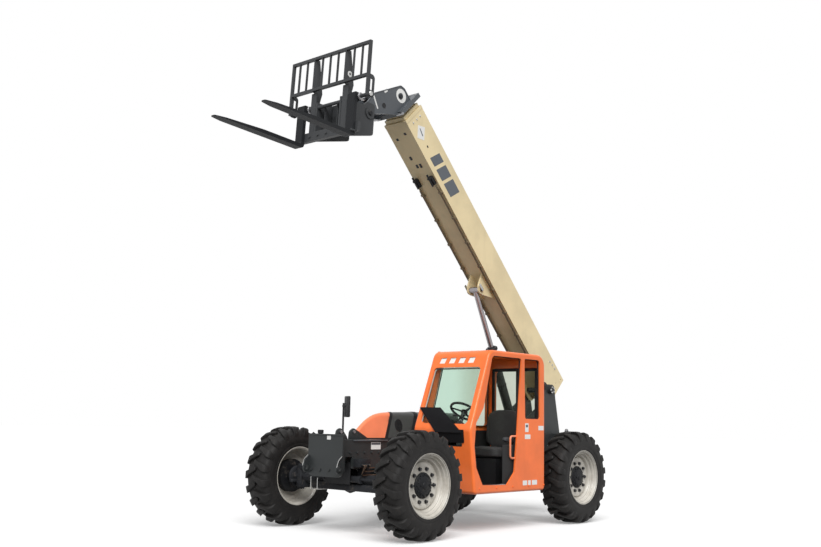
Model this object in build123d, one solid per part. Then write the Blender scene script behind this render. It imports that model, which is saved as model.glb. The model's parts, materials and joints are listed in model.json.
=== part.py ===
from build123d import *

import os
from math import atan2, cos, degrees, hypot, pi, radians, sin

# A rough-terrain telehandler: one solid per piece, millimetres, +X forward, +Y left, +Z up.
# Every piece is drawn about the middle of the wheelbase on the ground and moved at the end,
# so that the origin stands on the ground under the middle of the machine's outline.

# ---- running clearances ----
SEAT_GAP = 0.3          # between curved or sliding faces that rest on each other
PIN_GAP = 0.05          # between a pin and its bore
SIDE_GAP = 6.0          # beside a lug that turns between two ears

# ---- running gear ----
WHEELBASE = 3400.0
TRACK = 2250.0          # between the middles of the tyres
KINGPIN_INSET = 225.0   # from the middle of the tyre in to the kingpin
TYRE_RADIUS = 640.0     # over the lugs
CARCASS_RADIUS = 602.0
TYRE_WIDTH = 370.0
WHEEL_SIDES = 24        # flats round the carcass and the rim
LUGS_PER_SIDE = 14
SHOULDER = 62.0         # slope from sidewall to tread
LUG_WIDTH = 78.0
LUG_SWEEP = 105.0       # how far a lug runs round the tyre on its way out
BEAD_RADIUS = 356.0     # rim seat of a 28 inch wheel
RIM_WIDTH = 330.0       # between the flanges
FLANGE_RADIUS = 380.0
FLANGE_WIDTH = 12.0
RIM_WALL = 12.0
DISC_OUT = 40.0         # disc face beyond the middle of the tyre
DISC_THICKNESS = 18.0
HUB_RADIUS = 128.0
HUB_OUT = 92.0          # hub cap beyond the middle of the tyre
HUB_IN = 120.0
SPINDLE_RADIUS = 50.0
SPINDLE_OUT = 25.0      # spindle end behind the middle of the tyre
AXLE_RADIUS = 72.0
BOWL_RADIUS = 165.0     # differential bowl
BOWL_LENGTH = 230.0
SHAFT_TUBE_RADIUS = 34.0
KINGPIN_RADIUS = 30.0
KNUCKLE_RADIUS = 68.0
KNUCKLE_HEIGHT = 190.0
YOKE_THICKNESS = 40.0
YOKE_RADIUS = 62.0

# ---- chassis ----
PLATE_OUT = 245.0       # outer faces of the two long side plates
PLATE_THICKNESS = 25.0
FRAME_TOP = 1141.0
FRAME_BELLY = 560.0
FRAME_FRONT = 2050.0
FRAME_TAIL = 270.0      # frame beyond the boom pivot
NOSE_BOX_FRONT = 2155.0
NOSE_BOX_HALF = 300.0
NOSE_BOX_LOW = 690.0
NOSE_BOX_TOP = 1206.0
LUG_REACH = 46.0        # tie-down bore in front of the front plate
LUG_Y = 285.0
LUG_Z = 798.0
LUG_BORE = 24.0
LUG_RADIUS = 44.0
FRAME_BOTTOM = 790.0    # underside of the side plates over the axles
CROSS_TUBE_X = 1000.0
CROSS_TUBE_Z = 760.0
BELLY_THICKNESS = 16.0
WEIGHT_HALF = 560.0
WEIGHT_OVERHANG = 120.0 # weight beyond the frame's tail
WEIGHT_WRAP = 230.0     # weight along the frame's sides
WEIGHT_LOW = 760.0
WEIGHT_TOP = 1230.0

# ---- boom: u runs along it from the pivot, n is square to it on its upper side ----
PIVOT_X = -2450.0
PIVOT_Z = 1905.0
BOOM_ANGLE = 45.0
PIVOT_RADIUS = 40.0
TAIL_U = -206.0
TAIL_HOLES = ((-150.0, 400.0), (-150.0, 330.0), (-90.0, 250.0), (-150.0, 180.0), (-60.0, 130.0))
NOSE_U = 4939.0
BOOM_LOW_N = 17.0
BOOM_HEIGHT = 436.0
BOOM_WIDTH = 391.0
BOOM_WALL = 12.0
PAD = 12.0              # wear pads between one section and the next
SECTION_STEP = 55.0     # each section's nose stands out of the one around it
MID_LENGTH = 4860.0
FLY_LENGTH = 4760.0
COLLAR_OVER = 36.0
COLLAR_THICKNESS = 60.0
HEAD_OUT = 171.0        # outer faces of the head's side plates
HEAD_THICKNESS = 16.0
TILT_U = 5410.0         # carriage pivot
TILT_N = -569.0
TILT_PIN_RADIUS = 35.0

# ---- lift cylinder ----
LIFT_BASE_X = -2025.0
LIFT_BASE_Z = 900.0
LIFT_EYE_U = 2158.0
LIFT_EYE_N = -156.0
LIFT_RADIUS = 68.0
LIFT_ROD_RADIUS = 38.0
LIFT_EYE_RADIUS = 42.0
LIFT_PIN_RADIUS = 22.0
LIFT_BARREL = 1780.0    # base pin to gland
LIFT_LUG_HALF = 45.0
LIFT_EYE_HALF = 80.0     # rod eye, as wide as the barrel so that the folded barrel clears the ears
LIFT_BASE_EYE = 52.0
LIFT_ROD_START = 985.0  # inner end of the piston at rest
CYLINDER_WALL = 13.0
PISTON_LENGTH = 30.0

# ---- tilt cylinder ----
TILT_BASE_U = 5240.0
TILT_BASE_N = 185.0
TILT_LEVER_X = 127.0
TILT_LEVER_Z = 203.0
TILT_RADIUS = 48.0
TILT_ROD_RADIUS = 26.0
TILT_BARREL = 520.0
TILT_EYE_RADIUS = 38.0
TILT_LUG_HALF = 30.0
TILT_BASE_EYE = 36.0
TILT_ROD_START = 264.0
TILT_CYLINDER_PIN = 20.0

# ---- carriage: x forward and z up from the tilt pin, before it leans back ----
CARRIAGE_LEAN = 3.5
CARRIAGE_HALF = 715.0
CARRIAGE_FRONT = 525.0
BACKREST_BACK = 520.0    # rear face of the backrest's bars
BACKREST_TOP = 690.0
BACKREST_LOW = 221.0
CARRIAGE_LOW = -450.0
BAR_PITCH = 143.0
EAR_OUT = 230.0
EAR_THICKNESS = 25.0
SHAFT_RADIUS = 24.0
SHAFT_X = 497.0
SHAFT_Z = 0.0
FORK_Y = 457.0
FORK_WIDTH = 126.0
FORK_THICKNESS = 50.0
FORK_HEEL_Z = -525.0
FORK_BLADE = 1371.0
FORK_TIP = 12.0

# ---- cab ----
CAB_INNER = 245.0
CAB_OUTER = 1190.0
CAB_WALL = 45.0
CAB_EDGE = 34.0          # rounding of the tube frame
GLASS = 6.0
SHIELD = 14.0
SEAT_TOP = 905.0
WHEEL_RIM = 190.0
COLUMN_X = 330.0
COLUMN_Y = 700.0
COLUMN_Z = 1535.0
COLUMN_RAKE = 35.0

# ---- engine side ----
BAY_REAR = -900.0
BAY_SWEEP = 390.0       # where the tray starts to narrow towards the front
BAY_FRONT = 1235.0
BAY_OUTER = -1060.0
BAY_FLOOR = 540.0
BAY_TOP = 1150.0
BAY_WALL = 30.0
HOOD_INNER = -300.0
HOOD_OUTER = -1095.0
HOOD_TOP = 1512.0
HOOD_SPLIT = 574.0      # joint between hood and nose at the top
HOOD_SLANT = 0.5        # how far that joint runs forward on its way down
HOOD_LEAN = 0.19        # inner wall's lean towards the outside
HOOD_FALL = 0.05        # top's fall towards the outside
HOOD_WALL = 25.0
HOOD_STATIONS = (       # x, top of the crest, outer side, crest radius
    (425.0, HOOD_TOP, HOOD_OUTER, 90.0), (560.0, HOOD_TOP, -985.0, 90.0), (760.0, 1506.0, -820.0, 85.0),
    (980.0, 1450.0, -640.0, 75.0), (1140.0, 1348.0, -510.0, 55.0), (1275.0, 1238.0, -400.0, 25.0),
)
HINGE_Y = -285.0        # hood hinge line above the tray's inner wall
HINGE_Z = 1172.0
HINGE_EYE = 12.0
HINGE_PIN = 7.0
HINGE_LEAF = 60.0
HINGE_X = (-780.0, 380.0)
MIRROR_X = 1360.0
MIRROR_Y = -500.0

HALF_BASE = WHEELBASE / 2
HALF_TRACK = TRACK / 2
KINGPIN_Y = HALF_TRACK - KINGPIN_INSET
FRAME_REAR = PIVOT_X - FRAME_TAIL
LUG_X = NOSE_BOX_FRONT + LUG_REACH
HOOD_NOSE = HOOD_STATIONS[-1][0]


# ---------------------------------------------------------------- helpers
def outline(points):
    """Closed flat outline from (a, b, corner radius) rows, drawn in the XY plane."""
    face = make_face(Polyline(*[(a, b) for a, b, r in points], close=True))
    for a, b, r in points:
        if r > 0:
            corner = face.vertices().sort_by_distance(Vector(a, b, 0))[0]
            face = fillet(corner, radius=r)
    return face


def side_plate(points, y_low, y_high):
    """Plate whose outline is drawn in (x, z), between two y values."""
    return Pos(0, y_high, 0) * Rot(90, 0, 0) * extrude(outline(points), y_high - y_low)


def flat_plate(points, z_low, z_high):
    """Plate whose outline is drawn in (x, y), between two heights."""
    return Pos(0, 0, z_low) * extrude(outline(points), z_high - z_low)


def front_plate(points, x_low, x_high):
    """Plate whose outline is drawn in (y, z), between two x values."""
    return Pos(x_low, 0, 0) * extrude(Plane.YZ * outline(points), x_high - x_low)


def block(x0, x1, y0, y1, z0, z1):
    """Box between two corners."""
    return Pos((x0 + x1) / 2, (y0 + y1) / 2, (z0 + z1) / 2) * Box(x1 - x0, y1 - y0, z1 - z0)


def rod_y(x, z, radius, y_low, y_high):
    """Round bar along Y."""
    return Pos(x, (y_low + y_high) / 2, z) * Rot(90, 0, 0) * Cylinder(radius, y_high - y_low)


def rod_x(y, z, radius, x_low, x_high):
    """Round bar along X."""
    return Pos((x_low + x_high) / 2, y, z) * Rot(0, 90, 0) * Cylinder(radius, x_high - x_low)


def rod_z(x, y, radius, z_low, z_high):
    """Round bar along Z."""
    return Pos(x, y, (z_low + z_high) / 2) * Cylinder(radius, z_high - z_low)


def polygon_y(x, z, radius, y_low, y_high, sides=12):
    """Many-sided bar along Y, for round castings that carry no fit."""
    flat = Plane((x, y_low, z), x_dir=(1, 0, 0), z_dir=(0, 1, 0))
    return extrude(flat * RegularPolygon(radius, sides), y_high - y_low)


def polygon_x(y, z, radius, x_low, x_high, sides=12):
    """Many-sided bar along X."""
    return taper_x(z, [(x_low, radius), (x_high, radius)], sides, y)


def polygon_z(x, y, radius, z_low, z_high, sides=12):
    """Many-sided bar along Z."""
    return Pos(x, y, z_low) * extrude(RegularPolygon(radius, sides), z_high - z_low)


def taper_x(z, stations, sides=12, y=0.0):
    """Many-sided casting along X through (x, radius) stations."""
    rings = [Plane((x, y, z), x_dir=(0, 1, 0), z_dir=(1, 0, 0)) * RegularPolygon(r, sides) for x, r in stations]
    return loft(rings, ruled=True)


def bent_bar(points, radius, sides=8):
    """Many-sided bar along straight runs."""
    path = Polyline(*points)
    return sweep(Plane(path @ 0, z_dir=path % 0) * RegularPolygon(radius, sides), path, transition=Transition.RIGHT)


def rectangle(a0, a1, b0, b1, r=0.0):
    """Rows for a rectangle with one corner radius."""
    return [(a0, b0, r), (a1, b0, r), (a1, b1, r), (a0, b1, r)]


# ---------------------------------------------------------------- frames that pieces are drawn in
BOOM = Pos(PIVOT_X, 0, PIVOT_Z) * Rot(0, -BOOM_ANGLE, 0)


def boom_point(u, n):
    """Place of a boom point in the machine, as (x, z)."""
    a = radians(BOOM_ANGLE)
    return PIVOT_X + u * cos(a) - n * sin(a), PIVOT_Z + u * sin(a) + n * cos(a)


TILT_X, TILT_Z = boom_point(TILT_U, TILT_N)
CARRIAGE = Pos(TILT_X, 0, TILT_Z) * Rot(0, -CARRIAGE_LEAN, 0)


def carriage_point(x, z):
    """Place of a carriage point in the machine, as (x, z)."""
    a = radians(CARRIAGE_LEAN)
    return TILT_X + x * cos(a) - z * sin(a), TILT_Z + x * sin(a) + z * cos(a)


FORK_FRONT = CARRIAGE_FRONT + FORK_THICKNESS
TAIL_TOP_X = boom_point(TAIL_U, BOOM_LOW_N + BOOM_HEIGHT)[0]
FORK_TIP_X = carriage_point(FORK_FRONT + FORK_BLADE, FORK_HEEL_Z)[0]
ORIGIN_X = (TAIL_TOP_X + FORK_TIP_X) / 2

LIFT_EYE = boom_point(LIFT_EYE_U, LIFT_EYE_N)
LIFT_ANGLE = degrees(atan2(LIFT_EYE[1] - LIFT_BASE_Z, LIFT_EYE[0] - LIFT_BASE_X))
LIFT_LENGTH = hypot(LIFT_EYE[1] - LIFT_BASE_Z, LIFT_EYE[0] - LIFT_BASE_X)
TILT_BASE = boom_point(TILT_BASE_U, TILT_BASE_N)
TILT_EYE = carriage_point(TILT_LEVER_X, TILT_LEVER_Z)
TILT_ANGLE = degrees(atan2(TILT_EYE[1] - TILT_BASE[1], TILT_EYE[0] - TILT_BASE[0]))
TILT_LENGTH = hypot(TILT_EYE[1] - TILT_BASE[1], TILT_EYE[0] - TILT_BASE[0])
LIFT = Pos(LIFT_BASE_X, 0, LIFT_BASE_Z) * Rot(0, -LIFT_ANGLE, 0)
TILT = Pos(TILT_BASE[0], 0, TILT_BASE[1]) * Rot(0, -TILT_ANGLE, 0)


# ---------------------------------------------------------------- wheels
def tyre():
    """Tyre about the origin, axle along Y: a flat-sided carcass with two rows of slanted lugs."""
    half = TYRE_WIDTH / 2
    lip = RIM_WIDTH / 2 - SEAT_GAP
    stations = [                                # y, radius of the carcass
        (-lip, FLANGE_RADIUS + 8), (-half, FLANGE_RADIUS + 90), (-half + SHOULDER, CARCASS_RADIUS),
        (half - SHOULDER, CARCASS_RADIUS), (half, FLANGE_RADIUS + 90), (lip, FLANGE_RADIUS + 8),
    ]
    rings = [Plane((0, y, 0), x_dir=(1, 0, 0), z_dir=(0, 1, 0)) * RegularPolygon(r, WHEEL_SIDES)
             for y, r in stations]
    carcass = loft(rings, ruled=True)
    start, reach = -LUG_SWEEP / 2, LUG_SWEEP / 2
    plan = flat_plate([(start - LUG_WIDTH / 2, -6, 0), (start + LUG_WIDTH / 2, -6, 0),
                       (reach + LUG_WIDTH * 0.62, half + 5, 0), (reach - LUG_WIDTH * 0.62, half + 5, 0)],
                      CARCASS_RADIUS - 60, TYRE_RADIUS)
    section = front_plate([(-10, CARCASS_RADIUS - 50, 0), (-10, TYRE_RADIUS - 4, 0),
                           (half - 45, TYRE_RADIUS - 4, 0), (half, CARCASS_RADIUS - 50, 0)], -150, 150)
    lug = plan & section
    pitch = 360 / LUGS_PER_SIDE
    lugs = []
    for k in range(LUGS_PER_SIDE):
        lugs.append(Rot(0, k * pitch, 0) * lug)
        lugs.append(Rot(0, (k + 0.5) * pitch, 0) * mirror(lug, about=Plane.XZ))
    body = carcass.fuse(*lugs)
    return body - polygon_y(0, 0, BEAD_RADIUS + SEAT_GAP, -half - 5, half + 5, WHEEL_SIDES)


def wheel():
    """Rim with its disc and planetary hub, axle along Y, outside towards +Y."""
    half = RIM_WIDTH / 2
    edge = half + FLANGE_WIDTH
    disc_back = DISC_OUT - DISC_THICKNESS
    inner = BEAD_RADIUS - RIM_WALL
    solid = polygon_y(0, 0, BEAD_RADIUS, -edge, edge, WHEEL_SIDES)
    for low in (-edge, half):
        solid += polygon_y(0, 0, FLANGE_RADIUS, low, low + FLANGE_WIDTH, WHEEL_SIDES)
    solid -= polygon_y(0, 0, inner, -edge - 5, disc_back, WHEEL_SIDES)
    solid -= polygon_y(0, 0, inner, DISC_OUT, edge + 5, WHEEL_SIDES)
    solid += polygon_y(0, 0, HUB_RADIUS, -HUB_IN, disc_back)
    solid += polygon_y(0, 0, HUB_RADIUS - 8, DISC_OUT, HUB_OUT)
    return solid - rod_y(0, 0, SPINDLE_RADIUS + PIN_GAP, -HUB_IN - 5, 10 - SPINDLE_OUT)


def knuckle():
    """Steering knuckle of a left wheel about the tyre's middle: kingpin barrel and spindle."""
    half = KNUCKLE_HEIGHT / 2
    barrel = polygon_z(0, -KINGPIN_INSET, KNUCKLE_RADIUS, -half, half)
    carrier = polygon_y(0, 0, KNUCKLE_RADIUS + 6, -KINGPIN_INSET, -HUB_IN - SIDE_GAP)
    spindle = rod_y(0, 0, SPINDLE_RADIUS, -KINGPIN_INSET, -SPINDLE_OUT)
    bore = rod_z(0, -KINGPIN_INSET, KINGPIN_RADIUS + PIN_GAP, -KNUCKLE_HEIGHT, KNUCKLE_HEIGHT)
    return barrel + carrier + spindle - bore


def axle(direction):
    """Drive axle with its differential bowl, end yokes, kingpins and frame pads."""
    height = KNUCKLE_HEIGHT / 2 + 1
    top = height + YOKE_THICKNESS
    tube_end = KINGPIN_Y - KNUCKLE_RADIUS - 14
    solid = polygon_y(0, 0, AXLE_RADIUS, -tube_end, tube_end)
    solid += taper_x(0, sorted([(-70 * direction, 95), (0, BOWL_RADIUS), (BOWL_LENGTH * direction, 60)]))
    for side in (-1, 1):
        king = side * KINGPIN_Y
        root = side * (tube_end - 50)
        solid += block(-YOKE_RADIUS, YOKE_RADIUS, *sorted((root, side * tube_end)), -top, top)
        for low in (-top, height):
            solid += block(-YOKE_RADIUS, YOKE_RADIUS, *sorted((root, king)), low, low + YOKE_THICKNESS)
            solid += polygon_z(0, king, YOKE_RADIUS, low, low + YOKE_THICKNESS)
        solid += rod_z(0, king, KINGPIN_RADIUS, -top + 5, top - 5)
    pad_top = FRAME_BOTTOM - TYRE_RADIUS
    for side in (-1, 1):
        y_mid = side * (PLATE_OUT - PLATE_THICKNESS / 2)
        solid += block(-70, 70, y_mid - 45, y_mid + 45, 0, pad_top)
    return solid


# ---------------------------------------------------------------- chassis
def chassis_frame():
    """Two long plates that rise to the boom towers, tied by cross plates and tubes."""
    inner = PLATE_OUT - PLATE_THICKNESS
    profile = [                                 # x, z, corner radius
        (FRAME_FRONT, 935, 0), (FRAME_FRONT, FRAME_TOP, 0), (-1250, FRAME_TOP, 300),
        (PIVOT_X + 190, PIVOT_Z - 190, 200), (PIVOT_X + 125, PIVOT_Z + 85, 90),
        (PIVOT_X - 125, PIVOT_Z + 85, 90), (PIVOT_X - 150, PIVOT_Z - 120, 200),
        (FRAME_REAR, 1250, 60), (FRAME_REAR, FRAME_BOTTOM, 30), (-1330, FRAME_BOTTOM, 60),
        (-1180, FRAME_BELLY, 60), (1180, FRAME_BELLY, 60), (1330, FRAME_BOTTOM, 60),
        (1930, FRAME_BOTTOM, 30), (1930, 935, 0),
    ]
    solid = side_plate(profile, inner, PLATE_OUT) + side_plate(profile, -PLATE_OUT, -inner)
    solid += block(-1150, 1150, -inner, inner, FRAME_BELLY, FRAME_BELLY + BELLY_THICKNESS)
    solid += block(1350, FRAME_FRONT, -inner, inner, FRAME_TOP - 16, FRAME_TOP)
    solid += block(FRAME_FRONT - 20, FRAME_FRONT, -inner, inner, 935, FRAME_TOP)
    solid += block(FRAME_REAR, FRAME_REAR + 25, -inner, inner, FRAME_BOTTOM, 1180)
    for x in (-CROSS_TUBE_X, CROSS_TUBE_X):
        solid += polygon_y(x, CROSS_TUBE_Z, 45, -inner, inner)
    for side in (-1, 1):
        lug_in = side * (LIFT_LUG_HALF + SIDE_GAP)
        solid += polygon_y(LIFT_BASE_X, LIFT_BASE_Z, 60, min(lug_in, side * inner), max(lug_in, side * inner))
        boss = side * (PLATE_OUT + 18)
        solid += polygon_y(PIVOT_X, PIVOT_Z, 68, min(side * inner, boss), max(side * inner, boss))
    solid += rod_y(LIFT_BASE_X, LIFT_BASE_Z, LIFT_PIN_RADIUS, -inner, inner)
    solid += rod_y(PIVOT_X, PIVOT_Z, PIVOT_RADIUS, -PLATE_OUT, PLATE_OUT)
    return solid


def drive_line():
    """Transfer box on the belly plate with the shafts to both axles."""
    reach = HALF_BASE - BOWL_LENGTH
    solid = rod_x(0, TYRE_RADIUS, SHAFT_TUBE_RADIUS, -reach, reach)
    return solid + block(-160, 240, -150, 150, FRAME_BELLY + BELLY_THICKNESS, 760)


def nose_box():
    """Front plate with rounded lower corners, its box behind it, side lugs and filler cap."""
    plate = front_plate([(-NOSE_BOX_HALF, NOSE_BOX_LOW, 90), (NOSE_BOX_HALF, NOSE_BOX_LOW, 90),
                         (NOSE_BOX_HALF, NOSE_BOX_TOP, 12), (-NOSE_BOX_HALF, NOSE_BOX_TOP, 12)],
                        NOSE_BOX_FRONT - 30, NOSE_BOX_FRONT)
    box = block(FRAME_FRONT, NOSE_BOX_FRONT - 30, -PLATE_OUT, PLATE_OUT, 760, FRAME_TOP)
    solid = plate + box
    lug = [(NOSE_BOX_FRONT, LUG_Z + 150, 0), (LUG_X + 22, LUG_Z + 96, 30), (LUG_X + LUG_RADIUS, LUG_Z + 10, 20),
           (LUG_X + LUG_RADIUS, LUG_Z - 36, 25), (LUG_X + 16, LUG_Z - 62, 25), (NOSE_BOX_FRONT, LUG_Z - 70, 0)]
    for side in (-1, 1):
        y = side * LUG_Y
        solid += side_plate(lug, y - 10, y + 10)
        solid += polygon_y(LUG_X, LUG_Z, LUG_RADIUS, y - 15, y + 15, 16)
        solid -= rod_y(LUG_X, LUG_Z, LUG_BORE, y - 20, y + 20)
    solid += polygon_z(FRAME_FRONT + 40, 60, 42, FRAME_TOP, FRAME_TOP + 55)
    return solid


def counterweight():
    """Cast weight wrapped round the tail of the frame."""
    rear = FRAME_REAR - WEIGHT_OVERHANG
    front = FRAME_REAR + WEIGHT_WRAP
    solid = flat_plate([(rear, -WEIGHT_HALF, 90), (front, -WEIGHT_HALF, 20), (front, WEIGHT_HALF, 20),
                        (rear, WEIGHT_HALF, 90)], WEIGHT_LOW, WEIGHT_TOP)
    return solid - block(FRAME_REAR, front + 10, -PLATE_OUT, PLATE_OUT, 0, 2000)


# ---------------------------------------------------------------- cab
CAB_REAR = -875.0
CAB_BOTTOM = 488.0
CAB_TOE_X = 701.0
CAB_KNEE_X, CAB_KNEE_Z = 801.0, 1290.0
CAB_BROW_X, CAB_ROOF_Z = 400.0, 2320.0
CAB_FLOOR = CAB_BOTTOM + CAB_WALL
CAB_FLOOR_FRONT = 655.0
CAB_SIDE = [                                    # x, z, corner radius, round the outside
    (CAB_REAR, CAB_BOTTOM, 50), (CAB_TOE_X, CAB_BOTTOM, 50), (CAB_KNEE_X, CAB_KNEE_Z, 120),
    (CAB_BROW_X, CAB_ROOF_Z, 130), (CAB_REAR, CAB_ROOF_Z, 160),
]


def front_face(x, z, top_x, top_z):
    """Frame on a leaning front face: origin at its foot, +X outwards, +Z up the face."""
    return Pos(x, 0, z) * Rot(0, -degrees(atan2(x - top_x, top_z - z)), 0)


CAB_BROW = front_face(CAB_KNEE_X, CAB_KNEE_Z, CAB_BROW_X, CAB_ROOF_Z)
CAB_SHIN = front_face(CAB_TOE_X, CAB_BOTTOM, CAB_KNEE_X, CAB_KNEE_Z)


def inset(points, d):
    """The same outline moved inwards by d."""
    return offset(outline(points), amount=-d)


def cab_shell():
    """Hollow cab: side walls, floor and roof of one thickness, with door and windows cut."""
    outer = side_plate(CAB_SIDE, CAB_INNER, CAB_OUTER)
    for face in (outer.faces().sort_by(Axis.Y)[0], outer.faces().sort_by(Axis.Y)[-1]):
        outer = fillet(outer.edges().filter_by(lambda e, y=face.center().Y: abs(e.center().Y - y) < 0.1), CAB_EDGE)
    core = extrude(inset(CAB_SIDE, CAB_WALL), CAB_OUTER - CAB_INNER - 2 * CAB_WALL)
    solid = outer - Pos(0, CAB_OUTER - CAB_WALL, 0) * Rot(90, 0, 0) * core
    cut_out = CAB_OUTER + 50
    cut_in = CAB_OUTER - CAB_WALL - 40
    door = [(350, 2245, 70), (532, 1567, 60), (684, 1376, 60), (714, 1088, 120), (674, 823, 60), (539, 601, 20),
            (11, 588, 20), (-156, 746, 30), (-210, 1201, 60), (-310, 2245, 50)]
    solid -= side_plate(door, cut_in, cut_out)
    rear_light = [(-395, 1442, 30), (-751, 1442, 30), (-745, 2245, 60), (-375, 2245, 30)]
    solid -= side_plate(rear_light, cut_in, cut_out)
    inner_light = [(520, 1330, 60), (250, 2200, 60), (-750, 2200, 60), (-750, 1330, 60)]
    solid -= side_plate(inner_light, CAB_INNER - 20, CAB_INNER + CAB_WALL + 20)
    solid -= front_plate(rectangle(CAB_INNER + 115, CAB_OUTER - 115, 1365, 2115, 60), CAB_REAR - 50, CAB_REAR + 100)
    solid -= front_plate(rectangle(CAB_INNER + 85, CAB_OUTER - 80, 1360, 2095, 50), 400, 1000)
    solid -= front_plate(rectangle(CAB_INNER + 300, CAB_OUTER - 150, 1075, 1235, 20), 600, 1000)
    for k in range(4):
        y = CAB_INNER + 190 + k * 160
        slot = [(y - 50, 2150, 0), (y + 50, 2150, 0), (y + 70, 2225, 0), (y - 30, 2225, 0)]
        solid -= front_plate(slot, 300, 700)
    for k in range(3):
        y = CAB_INNER + 150 + k * 230
        solid -= flat_plate(rectangle(-560, 200, y, y + 170), 2200, 2400)
    return solid


def cab_glass():
    """Windscreen, lower front light, inner side light and rear light, held inside the walls."""
    y_in = CAB_INNER + CAB_WALL
    sheet = [(y_in + 10, 48, 0), (CAB_OUTER - CAB_WALL - 10, 48, 0), (CAB_OUTER - CAB_WALL - 10, 880, 0),
             (y_in + 10, 880, 0)]
    behind = -CAB_WALL - SEAT_GAP
    screen = CAB_BROW * front_plate(sheet, behind - GLASS, behind)
    lower = CAB_SHIN * front_plate(rectangle(CAB_INNER + 280, CAB_OUTER - 130, 570, 765), behind - GLASS, behind)
    y_in += SEAT_GAP
    inner = side_plate([(540, 1300, 0), (270, 2230, 0), (-790, 2230, 0), (-790, 1300, 0)], y_in, y_in + GLASS)
    x_rear = CAB_REAR + CAB_WALL + SEAT_GAP
    rear = front_plate(rectangle(CAB_INNER + 80, CAB_OUTER - 80, 1330, 2150), x_rear, x_rear + GLASS)
    return [screen, lower, inner, rear]


def dash_console():
    """Console under the windscreen that carries the steering column."""
    return side_plate([(CAB_FLOOR_FRONT, CAB_FLOOR, 0), (665, 1240, 40), (500, 1330, 40), (450, 1000, 60),
                       (480, CAB_FLOOR, 0)], CAB_INNER + 300, CAB_OUTER - 330)


def dash_shield():
    """Slanted dark shield on the outside of the lower windscreen frame."""
    rows = [(CAB_INNER + 5, 290, 8), (CAB_INNER + 340, 290, 8), (CAB_OUTER - 240, -30, 8), (CAB_INNER + 260, -30, 8)]
    return CAB_BROW * front_plate(rows, SEAT_GAP, SEAT_GAP + SHIELD)


def steering_wheel():
    """Rim, three spokes, boss and column down to the console."""
    rim = RegularPolygon(WHEEL_RIM + 14, 20) - RegularPolygon(WHEEL_RIM - 14, 20)
    solid = Pos(0, 0, -13) * extrude(rim, 26) + polygon_z(0, 0, 42, -20, 20)
    for k in range(3):
        solid += Rot(0, 0, 120 * k + 180) * Pos(WHEEL_RIM / 2, 0, -6) * Box(WHEEL_RIM, 26, 10)
    solid += polygon_z(0, 0, 26, -350, 0)
    solid = Pos(COLUMN_X, COLUMN_Y, COLUMN_Z) * Rot(0, -COLUMN_RAKE, 0) * solid
    return solid - dash_console()


def seat_base():
    """Suspension box under the seat."""
    return side_plate([(-640, CAB_FLOOR, 0), (-130, CAB_FLOOR, 0), (-130, SEAT_TOP, 0), (-640, SEAT_TOP, 30)], 500, 900)


def seat_cushion():
    """Plain padded cushion on the box."""
    low = SEAT_TOP + SEAT_GAP
    return side_plate([(-640, low, 20), (-110, low, 30), (-90, low + 120, 50), (-640, low + 120, 10)], 460, 940)


def seat_back():
    """Plain padded back standing on the cushion."""
    low = SEAT_TOP + 2 * SEAT_GAP + 120
    return side_plate([(-640, low, 20), (-500, low, 20), (-560, low + 490, 60), (-690, low + 490, 50)], 470, 930)


def grab_handle():
    """Bent handle on the rear door post."""
    y = CAB_OUTER - 22
    solid = bent_bar([(-200, y, 925), (-105, y, 925), (-85, y, 945), (-85, y, 1190), (-105, y, 1210),
                      (-235, y, 1210)], 13)
    return solid - cab_shell()


# ---------------------------------------------------------------- engine side
def hood_section(x, top, outer, radius, d):
    """End outline of the hood at one station, moved in by d."""
    rise = top - BAY_TOP
    rows = [(HOOD_INNER - d, BAY_TOP, 0), (HOOD_INNER - rise * HOOD_LEAN - d, top - d, max(radius - d, 5)),
            (outer + rise * HOOD_LEAN + d, top - (HOOD_INNER - outer) * HOOD_FALL - d, max(radius - d, 5)),
            (outer + d, BAY_TOP, 0)]
    return Pos(x, 0, 0) * (Plane.YZ * outline(rows))


def hood_form(d):
    """Outer form of the hood moved in by d: a straight rear and a nose lofted down to its tip."""
    x, top, outer, radius = HOOD_STATIONS[0]
    straight = x - BAY_REAR - d
    rear = Pos(BAY_REAR + d - x, 0, 0) * extrude(hood_section(x, top, outer, radius, d), straight, dir=(1, 0, 0))
    sections = [hood_section(*HOOD_STATIONS[0], d)]
    for x, top, outer, radius in HOOD_STATIONS[1:]:
        sections.append(hood_section(x - d, top, outer, radius, d))
    return rear + loft(sections)


def hood_shell():
    """Whole hood, hollow and open below, standing on the tray, with its air slots."""
    solid = hood_form(0) - hood_form(HOOD_WALL)
    solid -= block(-2000, 2000, -2000, 0, BAY_TOP - 50, BAY_TOP + SEAT_GAP)
    for k in range(4):
        x = -700 + k * 150
        solid -= side_plate(rectangle(x, x + 100, 1215, 1345), HOOD_OUTER - 50, HOOD_OUTER + 100)
    return solid


def hood_joint(gap):
    """Space in front of the slanting joint between hood and nose, moved forward by a gap."""
    foot = HOOD_SPLIT + gap + (HOOD_TOP - BAY_TOP) * HOOD_SLANT
    slope = HOOD_SLANT * 100
    return side_plate([(HOOD_SPLIT + gap - slope, HOOD_TOP + 100, 0), (HOOD_NOSE + 100, HOOD_TOP + 100, 0),
                       (HOOD_NOSE + 100, BAY_TOP - 100, 0), (foot + slope, BAY_TOP - 100, 0)],
                      HOOD_OUTER - 50, 0)


def engine_bay():
    """Open tray that carries the engine beside the frame."""
    rows = [(BAY_REAR, -PLATE_OUT, 0), (BAY_REAR, BAY_OUTER, 40), (BAY_SWEEP, BAY_OUTER, 60),
            (BAY_FRONT, HOOD_INNER - 85, 30), (BAY_FRONT, -PLATE_OUT, 0)]
    inside = extrude(inset(rows, BAY_WALL), BAY_TOP)
    tray = flat_plate(rows, BAY_FLOOR, BAY_TOP) - Pos(0, 0, BAY_FLOOR + BAY_WALL) * inside
    return tray + hinge_lugs()


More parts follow.
